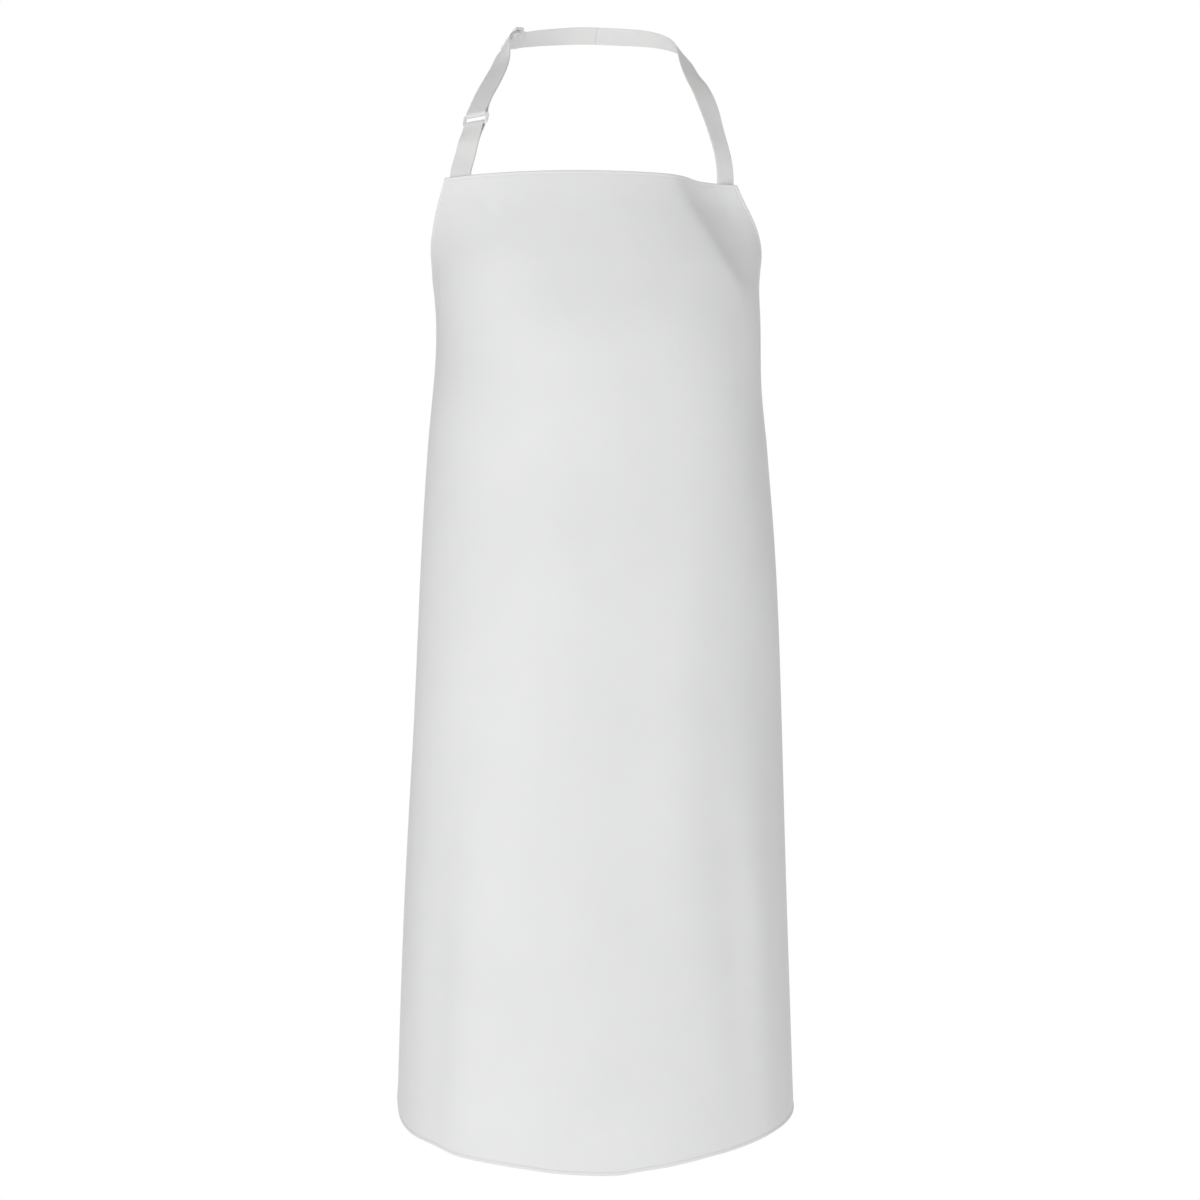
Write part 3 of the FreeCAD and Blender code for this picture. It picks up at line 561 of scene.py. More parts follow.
CLOTH = coated_cloth()
NECK_WEBBING = webbing("neck_webbing", (0.77, 0.77, 0.765), (0.86, 0.86, 0.855))
TIE_WEBBING = webbing("tie_webbing", (0.72, 0.72, 0.71), (0.82, 0.82, 0.81))
PLASTIC = white_plastic()
THREAD = sewing_thread()

# ---------------------------------------------------------------- the panel

EDGE_STEPS = np.array([0.0, 0.12, 0.3, 0.6, 1.1, 1.8, 2.6, 3.1, 3.35, 3.6, 3.9, 4.3, 5.0,
                       6.2, 8.0, 10.5])
HEM_LINE = 3.5
HEM_RAISE = 0.40
HEM_SLOPE = (2.6, 4.4)
SEAM_DEPTH = 0.30
SEAM_WIDTH = 0.5
NUDGE = 0.05


def hem_lift(distance):
    """Lift of the turned edge and of its seam, from the distance to the edge."""
    raised = HEM_RAISE * (1.0 - smooth_step(distance, *HEM_SLOPE))
    return raised - SEAM_DEPTH * np.exp(-((distance - HEM_LINE) / SEAM_WIDTH) ** 2)


def border_fractions(count, size):
    """Rising fractions 0..1 of a length: the edge steps at both ends, even between."""
    inner = np.linspace(EDGE_STEPS[-1], size - EDGE_STEPS[-1], count + 2)[1:-1]
    return np.concatenate([EDGE_STEPS, inner, size - EDGE_STEPS[::-1]]) / size


def panel_grid(columns, rows):
    """Flat positions (across, level) and distances to the side and end edges."""
    nominal_rows = border_fractions(rows, BIB_END - CORNER_LEVEL)
    edge_level = BIB_END + (CORNER_LEVEL - BIB_END) * nominal_rows
    half = side_edge_across(edge_level)
    tilt = np.gradient(half, edge_level)
    stretch = np.sqrt(1.0 + tilt ** 2)
    total = columns + 2 * len(EDGE_STEPS)
    across = np.empty((len(edge_level), total))
    for r in range(len(edge_level)):
        near = EDGE_STEPS * stretch[r]
        inner = np.linspace(-half[r] + near[-1], half[r] - near[-1], columns + 2)[1:-1]
        across[r] = np.concatenate([-half[r] + near, inner, half[r] - near[::-1]])
    side = across / half[:, None]
    start = bib_edge_level(HALF_BIB * side)
    corner = CORNER_ACROSS * side
    end = hem_edge_level(corner)
    slope = (hem_edge_level(corner + NUDGE) - hem_edge_level(corner - NUDGE)) / (2.0 * NUDGE)
    end_stretch = np.sqrt(1.0 + slope ** 2)
    length = start - end
    down = np.repeat(nominal_rows[:, None], total, axis=1)
    for k, step in enumerate(EDGE_STEPS):
        down[k] = step / length[k]
        down[-1 - k] = 1.0 - step * end_stretch[-1 - k] / length[-1 - k]
    level = start - length * down
    to_side = (half[:, None] - np.abs(across)) / stretch[:, None]
    to_end = np.minimum(length * down, length * (1.0 - down) / end_stretch)
    return across, level, to_side, to_end


TAPE_WIDTH = 25.0
TAPE = 1.2
SEWN_LENGTH = 22.0
RIGHT_INSET = 5.5
TIE_INSET = 2.0
STRAP_PLACES = {"left": HALF_BIB - TAPE_WIDTH / 2.0,
                "right": -(HALF_BIB - TAPE_WIDTH / 2.0 - RIGHT_INSET)}
TIE_LEVEL = WAIST_CORNER - TAPE_WIDTH / 2.0 - TIE_INSET
# Webbing ends behind the cloth: middle and half width across, lowest and highest level.
SEWN_AREAS = [(place, 11.5, BIB_END - 9.5, BIB_TOP + 6.0) for place in STRAP_PLACES.values()]
SEWN_AREAS += [(direction * (HALF_PANEL - 22.0), 15.0, TIE_LEVEL - 11.5, TIE_LEVEL + 11.5)
               for _, direction in SIDES]
PRINT_HEIGHT = 0.35
# Unevenness down and across the cloth: height, pitch, swing of the pitch, swing's length.
UNEVEN_DOWN = (0.10, 2.9, 1.7, 11.0)
UNEVEN_ACROSS = (0.08, 2.6, 1.3, 9.0)
PUCKER_LINE = HEM_LINE + 1.5
PUCKER_WIDTH = 3.5
# The folds lose this part of their height at the edge, and none from this distance in.
FOLDS_LOST = 0.2
FOLDS_WHOLE = 30.0
SOFT_OUTSIDE = 1.5
SOFT_INSIDE = 1.0


def soft_band(value, low, high):
    """One between low and high, and zero a little outside them."""
    return (smooth_step(value, low - SOFT_OUTSIDE, low + SOFT_INSIDE)
            * (1.0 - smooth_step(value, high - SOFT_INSIDE, high + SOFT_OUTSIDE)))


def tape_print(across, level):
    """Slight bulge of the cloth over the webbing ends sewn behind it."""
    return sum(soft_band(across, centre - half, centre + half) * soft_band(level, low, high)
               for centre, half, low, high in SEWN_AREAS)


def uneven(length, height, pitch, swing, swing_length):
    """Small waves along a length, with a pitch that swings."""
    return height * np.sin(length / pitch + swing * np.sin(length / swing_length))


def cloth_lift(across, level, distance):
    """Everything that lifts the front of the cloth off its even surface."""
    kept = 1.0 - FOLDS_LOST * (1.0 - smooth_step(distance, 0.0, FOLDS_WHOLE))
    waves = uneven(level, *UNEVEN_DOWN) + uneven(across, *UNEVEN_ACROSS)
    pucker = waves * np.exp(-((distance - PUCKER_LINE) / PUCKER_WIDTH) ** 2)
    return (cloth_relief(across, level) * kept
            + PRINT_HEIGHT * tape_print(across, level) + pucker)


def grid_normals(points):
    """Unit normals of a grid of points, away from the wearer."""
    return unit(np.cross(np.gradient(points, axis=1), -np.gradient(points, axis=0)))


def numbered_points(inside):
    """Point numbers of the front and of the back, which share the outermost points."""
    rim = (~inside).sum()
    front = np.full(inside.shape, -1)
    front[~inside] = np.arange(rim)
    back = front.copy()
    front[inside] = rim + np.arange(inside.sum())
    back[inside] = rim + inside.sum() + np.arange(inside.sum())
    return front, back


def table_quads(table):
    """Quads between the neighbouring numbers of a table."""
    corners = [table[:-1, :-1], table[1:, :-1], table[1:, 1:], table[:-1, 1:]]
    return np.stack(corners, axis=-1).reshape(-1, 4)


def flat_area(across, level):
    """Area of the flat panel in square metres, from the diagonals of its quads."""
    falling = (across[1:, 1:] - across[:-1, :-1]) * (level[1:, :-1] - level[:-1, 1:])
    rising = (across[1:, :-1] - across[:-1, 1:]) * (level[1:, 1:] - level[:-1, :-1])
    return float(np.abs(falling - rising).sum() / 2.0) * MM * MM


CLOTH_ROUNDING = 0.6


def build_panel():
    """The cloth as one closed sheet, and its flat area."""
    columns, rows = ((210, 320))
    across, level, to_side, to_end = panel_grid(columns, rows)
    distance = np.minimum(to_side, to_end)
    middle = cloth_surface(across, settled_level(across, level))
    lift = cloth_lift(across, level, distance)
    middle = middle + grid_normals(middle) * lift[..., None]
    normal = grid_normals(middle)
    inward = np.clip(distance / CLOTH_ROUNDING, 0.0, 1.0)
    rounding = np.sqrt(np.clip(1.0 - (1.0 - inward) ** 2, 0.0, 1.0))
    half = (CLOTH_HALF * rounding)[..., None]
    ridge = (hem_lift(distance) * smooth_step(distance, 0.0, CLOTH_ROUNDING))[..., None]
    front = middle + normal * (half + ridge)
    back = middle - normal * half
    inside = np.zeros(across.shape, bool)
    inside[1:-1, 1:-1] = True
    points = np.vstack([middle[~inside], front[inside], back[inside]]) * MM
    flat = np.stack([across, level], axis=-1)
    uv = np.vstack([flat[~inside], flat[inside], flat[inside]]) * MM
    front_numbers, back_numbers = numbered_points(inside)
    faces = np.vstack([table_quads(front_numbers), table_quads(back_numbers)[:, ::-1]])
    panel = add_mesh("panel", points, faces, uv)
    # Distance to the edge, which the cloth's material reads to paint shade along the edge and
    # in the seam groove.
    to_edge = np.concatenate([distance[~inside], distance[inside], distance[inside]])
    edge = panel.data.attributes.new("edge_distance", "FLOAT", "POINT")
    edge.data.foreach_set("value", to_edge.astype(np.float32))
    return panel, flat_area(across, level)


panel, panel_area = build_panel()
finish_piece(panel, "apron", CLOTH, ["apron_panel"])


def on_cloth(across, level, lift, distance):
    """Points on the finished cloth, lifted off its middle surface."""
    off = cloth_lift(across, level, distance) + lift
    low = settled_level(across, level)
    return cloth_surface(across, low) + cloth_normal(across, low) * off[..., None]


# ---------------------------------------------------------------- hems behind the panel

HEM_WIDTH = 8.0
HEM_INSET = 0.3
HEM_END_GAP = 1.0
HEM_EDGE_GAP = 0.4
BOTTOM_EDGE_GAP = 0.5
FOLD_GAP = 0.25
FOLD_THICKNESS = 0.7
FOLD_LIFT = -CLOTH_HALF - FOLD_GAP - FOLD_THICKNESS / 2.0
# Section of a turned edge: part of its width, part of its half thickness.
FOLD_SECTION = [(0.0, 0.0), (0.02, 0.5), (0.08, 1.0), (0.5, 1.0), (0.92, 1.0), (0.98, 0.5),
                (1.0, 0.0), (0.98, -0.5), (0.92, -1.0), (0.5, -1.0), (0.08, -1.0), (0.02, -0.5)]


def turned_edge(name, flat_position, steps, node):
    """Turned-in strip on the back of the cloth, with rounded long edges."""
    columns = np.linspace(0.0, 1.0, steps + 1)
    points, flats = [], []
    for part, height in FOLD_SECTION:
        across, level = flat_position(columns, part)
        lift = FOLD_LIFT + height * FOLD_THICKNESS / 2.0
        points.append(on_cloth(across, level, lift, HEM_WIDTH * part + HEM_INSET))
        flats.append(np.stack([across, level], axis=-1))
    points = np.stack(points, axis=1).reshape(-1, 3) * MM
    flats = np.stack(flats, axis=1).reshape(-1, 2) * MM
    faces = tube_faces(steps + 1, len(FOLD_SECTION), flip=True)
    strip = add_mesh(name, points, faces, flats)
    return finish_piece(strip, "apron", CLOTH, [node])


def top_position(column, part):
    """Place of the top strip, by parts of its length and of its width."""
    across = (2.0 * column - 1.0) * (HALF_BIB - HEM_END_GAP - HEM_WIDTH)
    return across, bib_edge_level(across) - HEM_EDGE_GAP - HEM_WIDTH * part


def bottom_position(column, part):
    """Place of the bottom strip, by parts of its length and of its width."""
    across = (2.0 * column - 1.0) * (CORNER_ACROSS - HEM_WIDTH - HEM_END_GAP)
    return across, hem_edge_level(across) + BOTTOM_EDGE_GAP + HEM_WIDTH * part


def side_position(first, last, direction):
    """Places of a strip between two levels of one side edge."""
    def position(column, part):
        level = first + (last - first) * column
        inset = HEM_EDGE_GAP + HEM_WIDTH * part
        return direction * (side_edge_across(level) - inset), level
    return position


turned_edges = [turned_edge("hem_fold_top", top_position, 90, "hem_top"),
                turned_edge("hem_fold_bottom", bottom_position, 150, "hem_bottom")]
for side_name, direction in SIDES:
    turned_edges.append(turned_edge(
        "hem_fold_armhole_" + side_name,
        side_position(BIB_END - 0.5, WAIST_CORNER + 2.0, direction), 80,
        "hem_armhole_" + side_name))
    turned_edges.append(turned_edge(
        "hem_fold_side_" + side_name,
        side_position(WAIST_CORNER - 2.0, CORNER_LEVEL + 4.0, direction), 150,
        "hem_side_" + side_name))

# ---------------------------------------------------------------- stitches


# One stitch: part of its length, part of the thread's radius.
STITCH_PROFILE = [(0.0, 0.15), (0.12, 0.75), (0.35, 1.0), (0.65, 1.0), (0.88, 0.75),
                  (1.0, 0.15)]
STITCH_SIDES = 6
STITCH_GAP = 0.10
STITCH_ARCH = 0.55
THREAD_RADIUS = 0.22
THREAD_SINK = 0.08
SHORT_STITCH = 2.4
# Half the length of a seam across the webbing.
SEAM_HALF = 9.5
# Distance to the edge from where the cloth's edge no longer shows.
CLEAR_OF_EDGE = 12.0


def stitch_points(centre, up):
    """Points round one stitch that arches along its centres."""
    along = unit(centre[-1] - centre[0])
    side = unit(np.cross(up, along))
    points = []
    for j, (t, width) in enumerate(STITCH_PROFILE):
        rise = THREAD_RADIUS * STITCH_ARCH * math.sin(math.pi * t) - THREAD_SINK
        radius = THREAD_RADIUS * width
        for s in range(STITCH_SIDES):
            turn = TURN * s / STITCH_SIDES
            points.append(centre[j] + up[j] * (rise + radius * math.sin(turn))
                          + side[j] * radius * math.cos(turn))
    return points


def stitch_mesh(name, runs, body="apron", replaces=(), pitch=3.2):
    """Rows of short thread stitches.  A run is (points, normals) arrays in millimetres."""
    points, faces = [], []
    for path, normals in runs:
        travelled = path_lengths(path)
        count = max(1, int(round(travelled[-1] / pitch)))
        for k in range(count):
            begin = travelled[-1] * (k + STITCH_GAP) / count
            end = travelled[-1] * (k + 1.0 - STITCH_GAP) / count
            places = [begin + (end - begin) * t for t, _ in STITCH_PROFILE]
            centre = np.stack([np.interp(places, travelled, path[:, a]) for a in range(3)], 1)
            up = np.stack([np.interp(places, travelled, normals[:, a]) for a in range(3)], 1)
            faces += tube_faces(len(STITCH_PROFILE), STITCH_SIDES, len(points))
            points += stitch_points(centre, unit(up))
    obj = add_mesh(name, np.array(points) * MM, faces)
    return finish_piece(obj, body, THREAD, replaces)


def cloth_run(across, level, distance):
    """Run of thread on the front of the cloth."""
    return on_cloth(across, level, CLOTH_HALF, distance), cloth_normal(across, level)


def inset_run(across, level):
    """Seam inside an edge line that goes round the panel with the cloth on its right."""
    steps = np.hypot(np.gradient(across), np.gradient(level))
    inward = np.stack([np.gradient(level), -np.gradient(across)]) / steps
    return cloth_run(across + inward[0] * HEM_LINE, level + inward[1] * HEM_LINE, HEM_LINE)


def hem_runs():
    """Seams of the top edge, the armholes, and the sides with the bottom edge."""
    inside = HALF_BIB - HEM_LINE
    top = np.linspace(-inside, inside, 160)
    runs = [inset_run(top, bib_edge_level(top))]
    down = np.linspace(BIB_END - HEM_LINE, WAIST_CORNER + HEM_LINE, 120)
    armhole = side_edge_across(down)
    runs.append(inset_run(armhole, down))
    runs.append(inset_run(-armhole[::-1], down[::-1]))
    straight = np.linspace(WAIST_CORNER - HEM_LINE, corner_levels[-1], 160)[:-1]
    side = np.full(straight.shape, HALF_PANEL)
    bottom = np.linspace(corner_places[0], 0.0, 120)[1:]
    across = np.concatenate([side, corner_places[::-4], bottom])
    level = np.concatenate([straight, corner_levels[::-4], hem_edge_level(bottom)])
    across = np.concatenate([across, -across[-2::-1]])
    level = np.concatenate([level, level[-2::-1]])
    runs.append(inset_run(across, level))
    return runs


def box_runs(first, last, low, high):
    """Runs of thread round a rectangle, with a cross inside."""
    corners = [(first, low), (last, low), (last, high), (first, high)]
    pairs = [(corners[i], corners[(i + 1) % 4]) for i in range(4)]
    pairs += [(corners[0], corners[2]), (corners[1], corners[3])]
    runs = []
    for start, end in pairs:
        parts = np.linspace(0.0, 1.0, 9)
        across = start[0] + (end[0] - start[0]) * parts
        level = start[1] + (end[1] - start[1]) * parts
        runs.append(cloth_run(across, level, CLEAR_OF_EDGE))
    return runs


hem_stitches = stitch_mesh("hem_stitches", hem_runs())
for side_name, direction in SIDES:
    place = STRAP_PLACES[side_name]
    stitch_mesh(
        "strap_stitch_box_" + side_name,
        box_runs(place - SEAM_HALF, place + SEAM_HALF, BIB_END - 9.0, BIB_END - 1.0),
        replaces=["bib_stitch_" + side_name], pitch=SHORT_STITCH)
    near, far = sorted((direction * (HALF_PANEL - 33.0), direction * (HALF_PANEL - 12.0)))
    stitch_mesh(
        "tie_stitch_box_" + side_name,
        box_runs(near, far, TIE_LEVEL - SEAM_HALF, TIE_LEVEL + SEAM_HALF),
        replaces=["tie_stitch_" + side_name], pitch=SHORT_STITCH)

# ---------------------------------------------------------------- neck loop path

LAYER_STEP = 1.5
SEWN_LIFT = -CLOTH_HALF - FOLD_GAP - FOLD_THICKNESS - 0.4 - TAPE / 2.0


def natural_spline(knots, values, wanted):
    """Natural cubic spline through values (n or n x k) at rising knots."""
    knots = np.asarray(knots, float)
    values = np.asarray(values, float)
    steps = np.diff(knots)
    count = len(knots)
    matrix = np.eye(count)
    right = np.zeros(values.shape)
    for i in range(1, count - 1):
        matrix[i, i - 1] = steps[i - 1]
        matrix[i, i] = 2.0 * (steps[i - 1] + steps[i])
        matrix[i, i + 1] = steps[i]
        right[i] = 6.0 * ((values[i + 1] - values[i]) / steps[i]
                          - (values[i] - values[i - 1]) / steps[i - 1])
    bends = np.linalg.solve(matrix, right)
    wanted = np.asarray(wanted, float)
    i = np.clip(np.searchsorted(knots, wanted, side="right") - 1, 0, count - 2)
    step = steps[i]
    before = (knots[i + 1] - wanted) / step
    after = (wanted - knots[i]) / step
    if values.ndim > 1:
        step, before, after = step[..., None], before[..., None], after[..., None]
    return (before * values[i] + after * values[i + 1]
            + ((before ** 3 - before) * bends[i] + (after ** 3 - after) * bends[i + 1])
            * step ** 2 / 6.0)


def sewn_stations(across):
    """Centres and face directions of tape behind the bib, from its end up."""
    levels = bib_edge_level(across) - np.array([SEWN_LENGTH, SEWN_LENGTH / 2.0, 0.0])
    across = np.full(3, across)
    lift = SEWN_LIFT + cloth_lift(across, levels, levels[-1] - levels)
    places = cloth_surface(across, levels) + cloth_normal(across, levels) * lift[:, None]
    return list(zip(places, cloth_normal(across, levels)))


slider_centre = np.array([-87.5, -37.0, -12.5])
slider_along = unit(np.array([-0.48, -0.86, -0.14]))
ring_centre = np.array([-137.8, -125.0, -114.5])
ring_along = unit(np.array([-0.23, -0.40, -0.88]))

# Centre of the tape and the direction its outer face looks in, from the bib's corner on
# the wearer's left, over the nape and down to the other corner.
loop_stations = sewn_stations(STRAP_PLACES["left"])
loop_stations += [
    ((131.0, -140.0, -149.0), (0.58, -0.80, 0.16)),
    ((125.0, -134.0, -124.0), (0.52, -0.77, 0.36)),
    ((118.0, -119.0, -93.0), (0.32, -0.78, 0.54)),
    ((111.5, -101.0, -70.5), (0.30, -0.65, 0.70)),
    ((104.5, -76.0, -48.0), (0.52, -0.48, 0.71)),
    ((97.5, -42.0, -20.0), (0.68, 0.02, 0.73)),
    ((67.0, -12.5, -4.0), (0.34, 0.50, 0.79)),
    ((31.0, -2.6, -0.6), (0.12, 0.62, 0.77)),
    ((-4.0, 0.4, 0.4), (0.0, 0.64, 0.77)),
    ((-38.0, -5.0, -2.5), (-0.16, 0.60, 0.77)),
    ((-66.0, -18.0, -7.5), (-0.45, 0.45, 0.74)),
]
loop_stations += [(slider_centre + slider_along * step, (-0.70, 0.28, 0.66))
                  for step in (-14.0, -7.0, 0.0, 7.0, 14.0)]
loop_stations += [
    ((-103.5, -62.5, -36.5), (-0.66, -0.33, 0.67)),
    ((-112.0, -81.0, -57.0), (-0.52, -0.50, 0.69)),
    ((-121.0, -97.0, -74.0), (-0.48, -0.55, 0.69)),
    ((-129.0, -110.0, -89.0), (-0.54, -0.60, 0.59)),
]
loop_stations += [(ring_centre + ring_along * step, (-0.60, -0.72, 0.33))
                  for step in (-10.0, 0.0, 10.0)]
loop_stations += [
    ((-146.0, -137.0, -139.0), (-0.58, -0.79, 0.12)),
    ((-151.5, -141.0, -160.0), (-0.57, -0.81, 0.06)),
]
loop_stations += sewn_stations(STRAP_PLACES["right"])[::-1]

loop_points = np.array([centre for centre, _ in loop_stations], float)
loop_faces = np.array([face for _, face in loop_stations], float)
station_lengths = path_lengths(loop_points)
LOOP_LENGTH = station_lengths[-1]
slider_station = station_lengths[np.abs(loop_points - slider_centre).sum(axis=1).argmin()]
ring_station = station_lengths[np.abs(loop_points - ring_centre).sum(axis=1).argmin()]


TANGENT_STEP = 0.2


def loop_centre(stations):
    """Centres of the neck loop at lengths from its first end."""
    return natural_spline(station_lengths, loop_points, np.clip(stations, 0.0, LOOP_LENGTH))


def loop_frames(stations):
    """Centres, directions along, outer face directions and width directions."""
    stations = np.clip(np.atleast_1d(np.asarray(stations, float)), 0.0, LOOP_LENGTH)
    centre = loop_centre(stations)
    along = unit(loop_centre(stations + TANGENT_STEP) - loop_centre(stations - TANGENT_STEP))
    face = np.stack([monotone(station_lengths, loop_faces[:, a], stations)
                     for a in range(3)], axis=-1)
    across = unit(np.cross(along, face))
    return centre, along, unit(np.cross(across, along)), across


# ---------------------------------------------------------------- tape


SELVAGE = 0.46


def tape_section(width, thickness):
    """Closed outline (across, height) of webbing with rounded selvages."""
    half = width / 2.0
    radius = thickness * SELVAGE
    edge = [(half - radius + radius * math.sin(t), math.cos(t) * thickness / 2.0)
            for t in np.linspace(0.0, math.pi, 7)]
    flat = np.linspace(half - radius, -half + radius, 15)[1:-1]
    outline = edge + [(a, -thickness / 2.0) for a in flat]
    outline += [(-a, -h) for a, h in edge]
    outline += [(-a, thickness / 2.0) for a in flat]
    return np.array(outline)


def tape_mesh(name, centres, width_directions, width=TAPE_WIDTH, thickness=TAPE,
              start_length=0.0, gathered=1.0):
    """Webbing through centres in millimetres, narrowed where gathered is below one."""
    across = unit(width_directions)
    along = unit(np.gradient(centres, axis=0, edge_order=2))
    face = unit(np.cross(across, along))
    across = unit(np.cross(along, face))
    section = tape_section(width, thickness)
    rows, count = len(centres), len(section)
    travelled = start_length + path_lengths(centres)
    scale = np.ones(rows) * gathered
    points = (centres[:, None, :]
              + across[:, None, :] * (section[None, :, 0] * scale[:, None])[..., None]
              + face[:, None, :] * section[None, :, 1][..., None])
    uv = np.stack(np.broadcast_arrays(section[None, :, 0], travelled[:, None]), axis=-1)
    obj = add_mesh(name, points.reshape(-1, 3) * MM, tube_faces(rows, count, flip=True),
                   uv.reshape(-1, 2) * MM)
    for cap in (-2, -1):
        obj.data.polygons[cap].use_smooth = False
    return obj


def along_profile(profile, spacing=1.0):
    """Centres and width directions along (station, lift) pairs."""
    profile = np.asarray(profile, float)
    lengths = path_lengths(profile)
    wanted = np.linspace(0.0, lengths[-1], max(3, int(lengths[-1] / spacing) + 1))
    fine = natural_spline(lengths, profile, wanted)
    centre, _, face, across = loop_frames(fine[:, 0])
    return centre + face * fine[:, 1:], across


def loop_tape(name, profile, body, replaces=(), spacing=1.0, blend=None):
    """Piece of the neck loop.  blend is (body, body, from station, to station), but the piece
    is not blended between these bodies: given a blend, it only has its transform baked into its
    mesh.
    """
    centres, across = along_profile(profile, spacing)
    obj = tape_mesh(name, centres, across, start_length=float(profile[0][0]))
    finish_piece(obj, body, NECK_WEBBING, replaces)
    if blend is not None:
        first, second, start, end = blend
        places = loop_frames([start, end])[0] * MM
        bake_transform(obj)
    return obj


def shifted(profile, station):
    """Profile whose stations are counted from the given one."""
    return [(station + step, lift) for step, lift in profile]


def even_profile(first, last, lift=0.0, spacing=12.0):
    """Profile at one height, with evenly spaced stations."""
    count = max(2, int(abs(last - first) / spacing) + 1)
    return [(s, lift) for s in np.linspace(first, last, count)]


# Paths of the webbing as (station, lift), counted from the middle of the slider or ring:
# first the one under the slider's outer bars and over its middle bar.
OVER_SLIDER = [(-20.0, 0.0), (-16.0, 0.0), (-12.5, -0.05), (-10.5, -0.1), (-9.2, -0.05),
               (-8.2, 0.4), (-7.0, 1.4), (-5.6, 2.8), (-4.2, 4.2), (-3.0, 5.2), (-1.6, 5.8),
               (0.0, 5.95), (1.6, 5.8), (3.0, 5.2), (4.2, 4.2), (5.6, 2.8), (7.0, 1.4),
               (8.2, 0.4), (9.2, -0.05), (10.5, -0.1), (12.5, -0.05), (16.0, 0.0),
               (20.0, 0.0)]
DOWN_TO_RING = [(-36.0, 0.0), (-28.0, 0.0), (-20.0, 0.15), (-15.0, 0.5), (-12.2, 0.88)]
ROUND_RING = [(-12.2, 0.88), (-9.5, 1.35), (-7.5, 1.62), (-6.0, 1.65), (-4.3, 0.95),
              (-3.6, -0.75), (-4.3, -2.45), (-6.0, -3.15), (-7.5, -3.12), (-9.5, -2.85),
              (-12.0, -2.4)]
UP_FROM_RING = [(-12.0, -2.4), (-15.0, -2.0), (-20.0, -1.65), (-28.0, -1.5), (-36.0, -1.5)]
ROUND_SLIDER_BAR = [(24.0, -1.5), (16.0, -1.5), (12.0, -1.5), (9.0, -1.5), (6.6, -1.2),
                    (4.8, -0.4), (3.4, 0.8), (2.6, 2.2), (2.1, 3.5), (0.9, 4.35), (-0.9, 4.35),
                    (-2.1, 3.5), (-2.4, 2.2), (-2.0, 0.9), (-0.6, 0.0), (1.2, -0.4),
                    (3.0, -1.5), (4.8, -2.5), (7.5, -3.0), (12.0, -3.05), (18.0, -3.05)]
ROUND_RING_TAB = [(30.0, 0.0), (24.0, 0.1), (18.0, 0.45), (13.0, 0.95), (9.0, 1.5),
                  (6.0, 1.65), (4.3, 0.95), (3.6, -0.75), (4.3, -2.45), (6.0, -3.15),
                  (9.0, -3.0), (13.0, -2.45), (18.0, -1.95), (24.0, -1.6), (30.0, -1.5)]

blend_station = slider_station - 110.0
slider_start = slider_station - 20.0
slider_end = slider_station + 20.0
return_start = slider_station + 24.0
ring_start = ring_station - 12.2
middle_station = (slider_end + ring_start) / 2.0

loop_tape("neck_strap_back", even_profile(0.0, blend_station), "apron", ["neck_strap"], 2.0)
loop_tape("neck_strap_to_slider", even_profile(blend_station, slider_start), None,
          blend=("apron", "slider", blend_station, slider_start))
loop_tape("neck_strap_over_slider", shifted(OVER_SLIDER, slider_station), "slider",
          spacing=0.6)
loop_tape("neck_strap_run_upper", even_profile(slider_end, middle_station), None,
          blend=("slider", "apron", slider_end, middle_station))
loop_tape("neck_strap_run_lower",
          even_profile(middle_station, ring_station - 38.0)
          + shifted(DOWN_TO_RING, ring_station), None,
          blend=("apron", "ring", middle_station, ring_start))
loop_tape("strap_turn_at_ring", shifted(ROUND_RING, ring_station), "ring",
          ["strap_return"], spacing=0.5)
loop_tape("strap_return_lower",
          shifted(UP_FROM_RING, ring_station)
          + even_profile(ring_station - 40.0, middle_station, -LAYER_STEP), None,
          blend=("apron", "ring", middle_station, ring_station - 12.0))
loop_tape("strap_return_upper", even_profile(middle_station, return_start, -LAYER_STEP),
          None, blend=("slider", "apron", return_start, middle_station))
loop_tape("strap_end_at_slider", shifted(ROUND_SLIDER_BAR, slider_station), "slider",
          spacing=0.5)
tab_profile = [(LOOP_LENGTH, 0.0), (LOOP_LENGTH - 11.0, 0.0), (LOOP_LENGTH - 22.0, 0.0)]
tab_back = [(LOOP_LENGTH - 22.0, -LAYER_STEP), (LOOP_LENGTH - 11.0, -LAYER_STEP),
            (LOOP_LENGTH - 3.0, -LAYER_STEP)]
loop_tape("ring_tab_strap", tab_profile + shifted(ROUND_RING_TAB, ring_station) + tab_back,
          "apron", ["ring_tab"], spacing=0.6)


def row_across(station, lift):
    """Run of thread across the neck webbing."""
    centre, _, face, across = loop_frames(station)
    parts = np.linspace(-SEAM_HALF, SEAM_HALF, 9)[:, None]
    return centre + face * lift + across * parts, np.repeat(np.sign(lift) * face, 9, axis=0)


# Rows of stitches as (station, lift of the webbing's middle), and the end's two stations.
TAB_ROWS = ((21.0, 0.25), (23.5, 0.12))
END_ROWS = (13.0, 15.5)
END_LIFT = -3.05
stitch_mesh("tab_stitch_row", [row_across(ring_station + station, lift + TAPE / 2.0)
                               for station, lift in TAB_ROWS],
            replaces=["ring_tab_stitch"], pitch=SHORT_STITCH)
stitch_mesh("strap_end_stitch_row", [row_across(slider_station + station, END_LIFT - TAPE / 2.0)
                                     for station in END_ROWS],
            body="slider", replaces=["strap_end_stitch"], pitch=SHORT_STITCH)

# ---------------------------------------------------------------- ring and slider


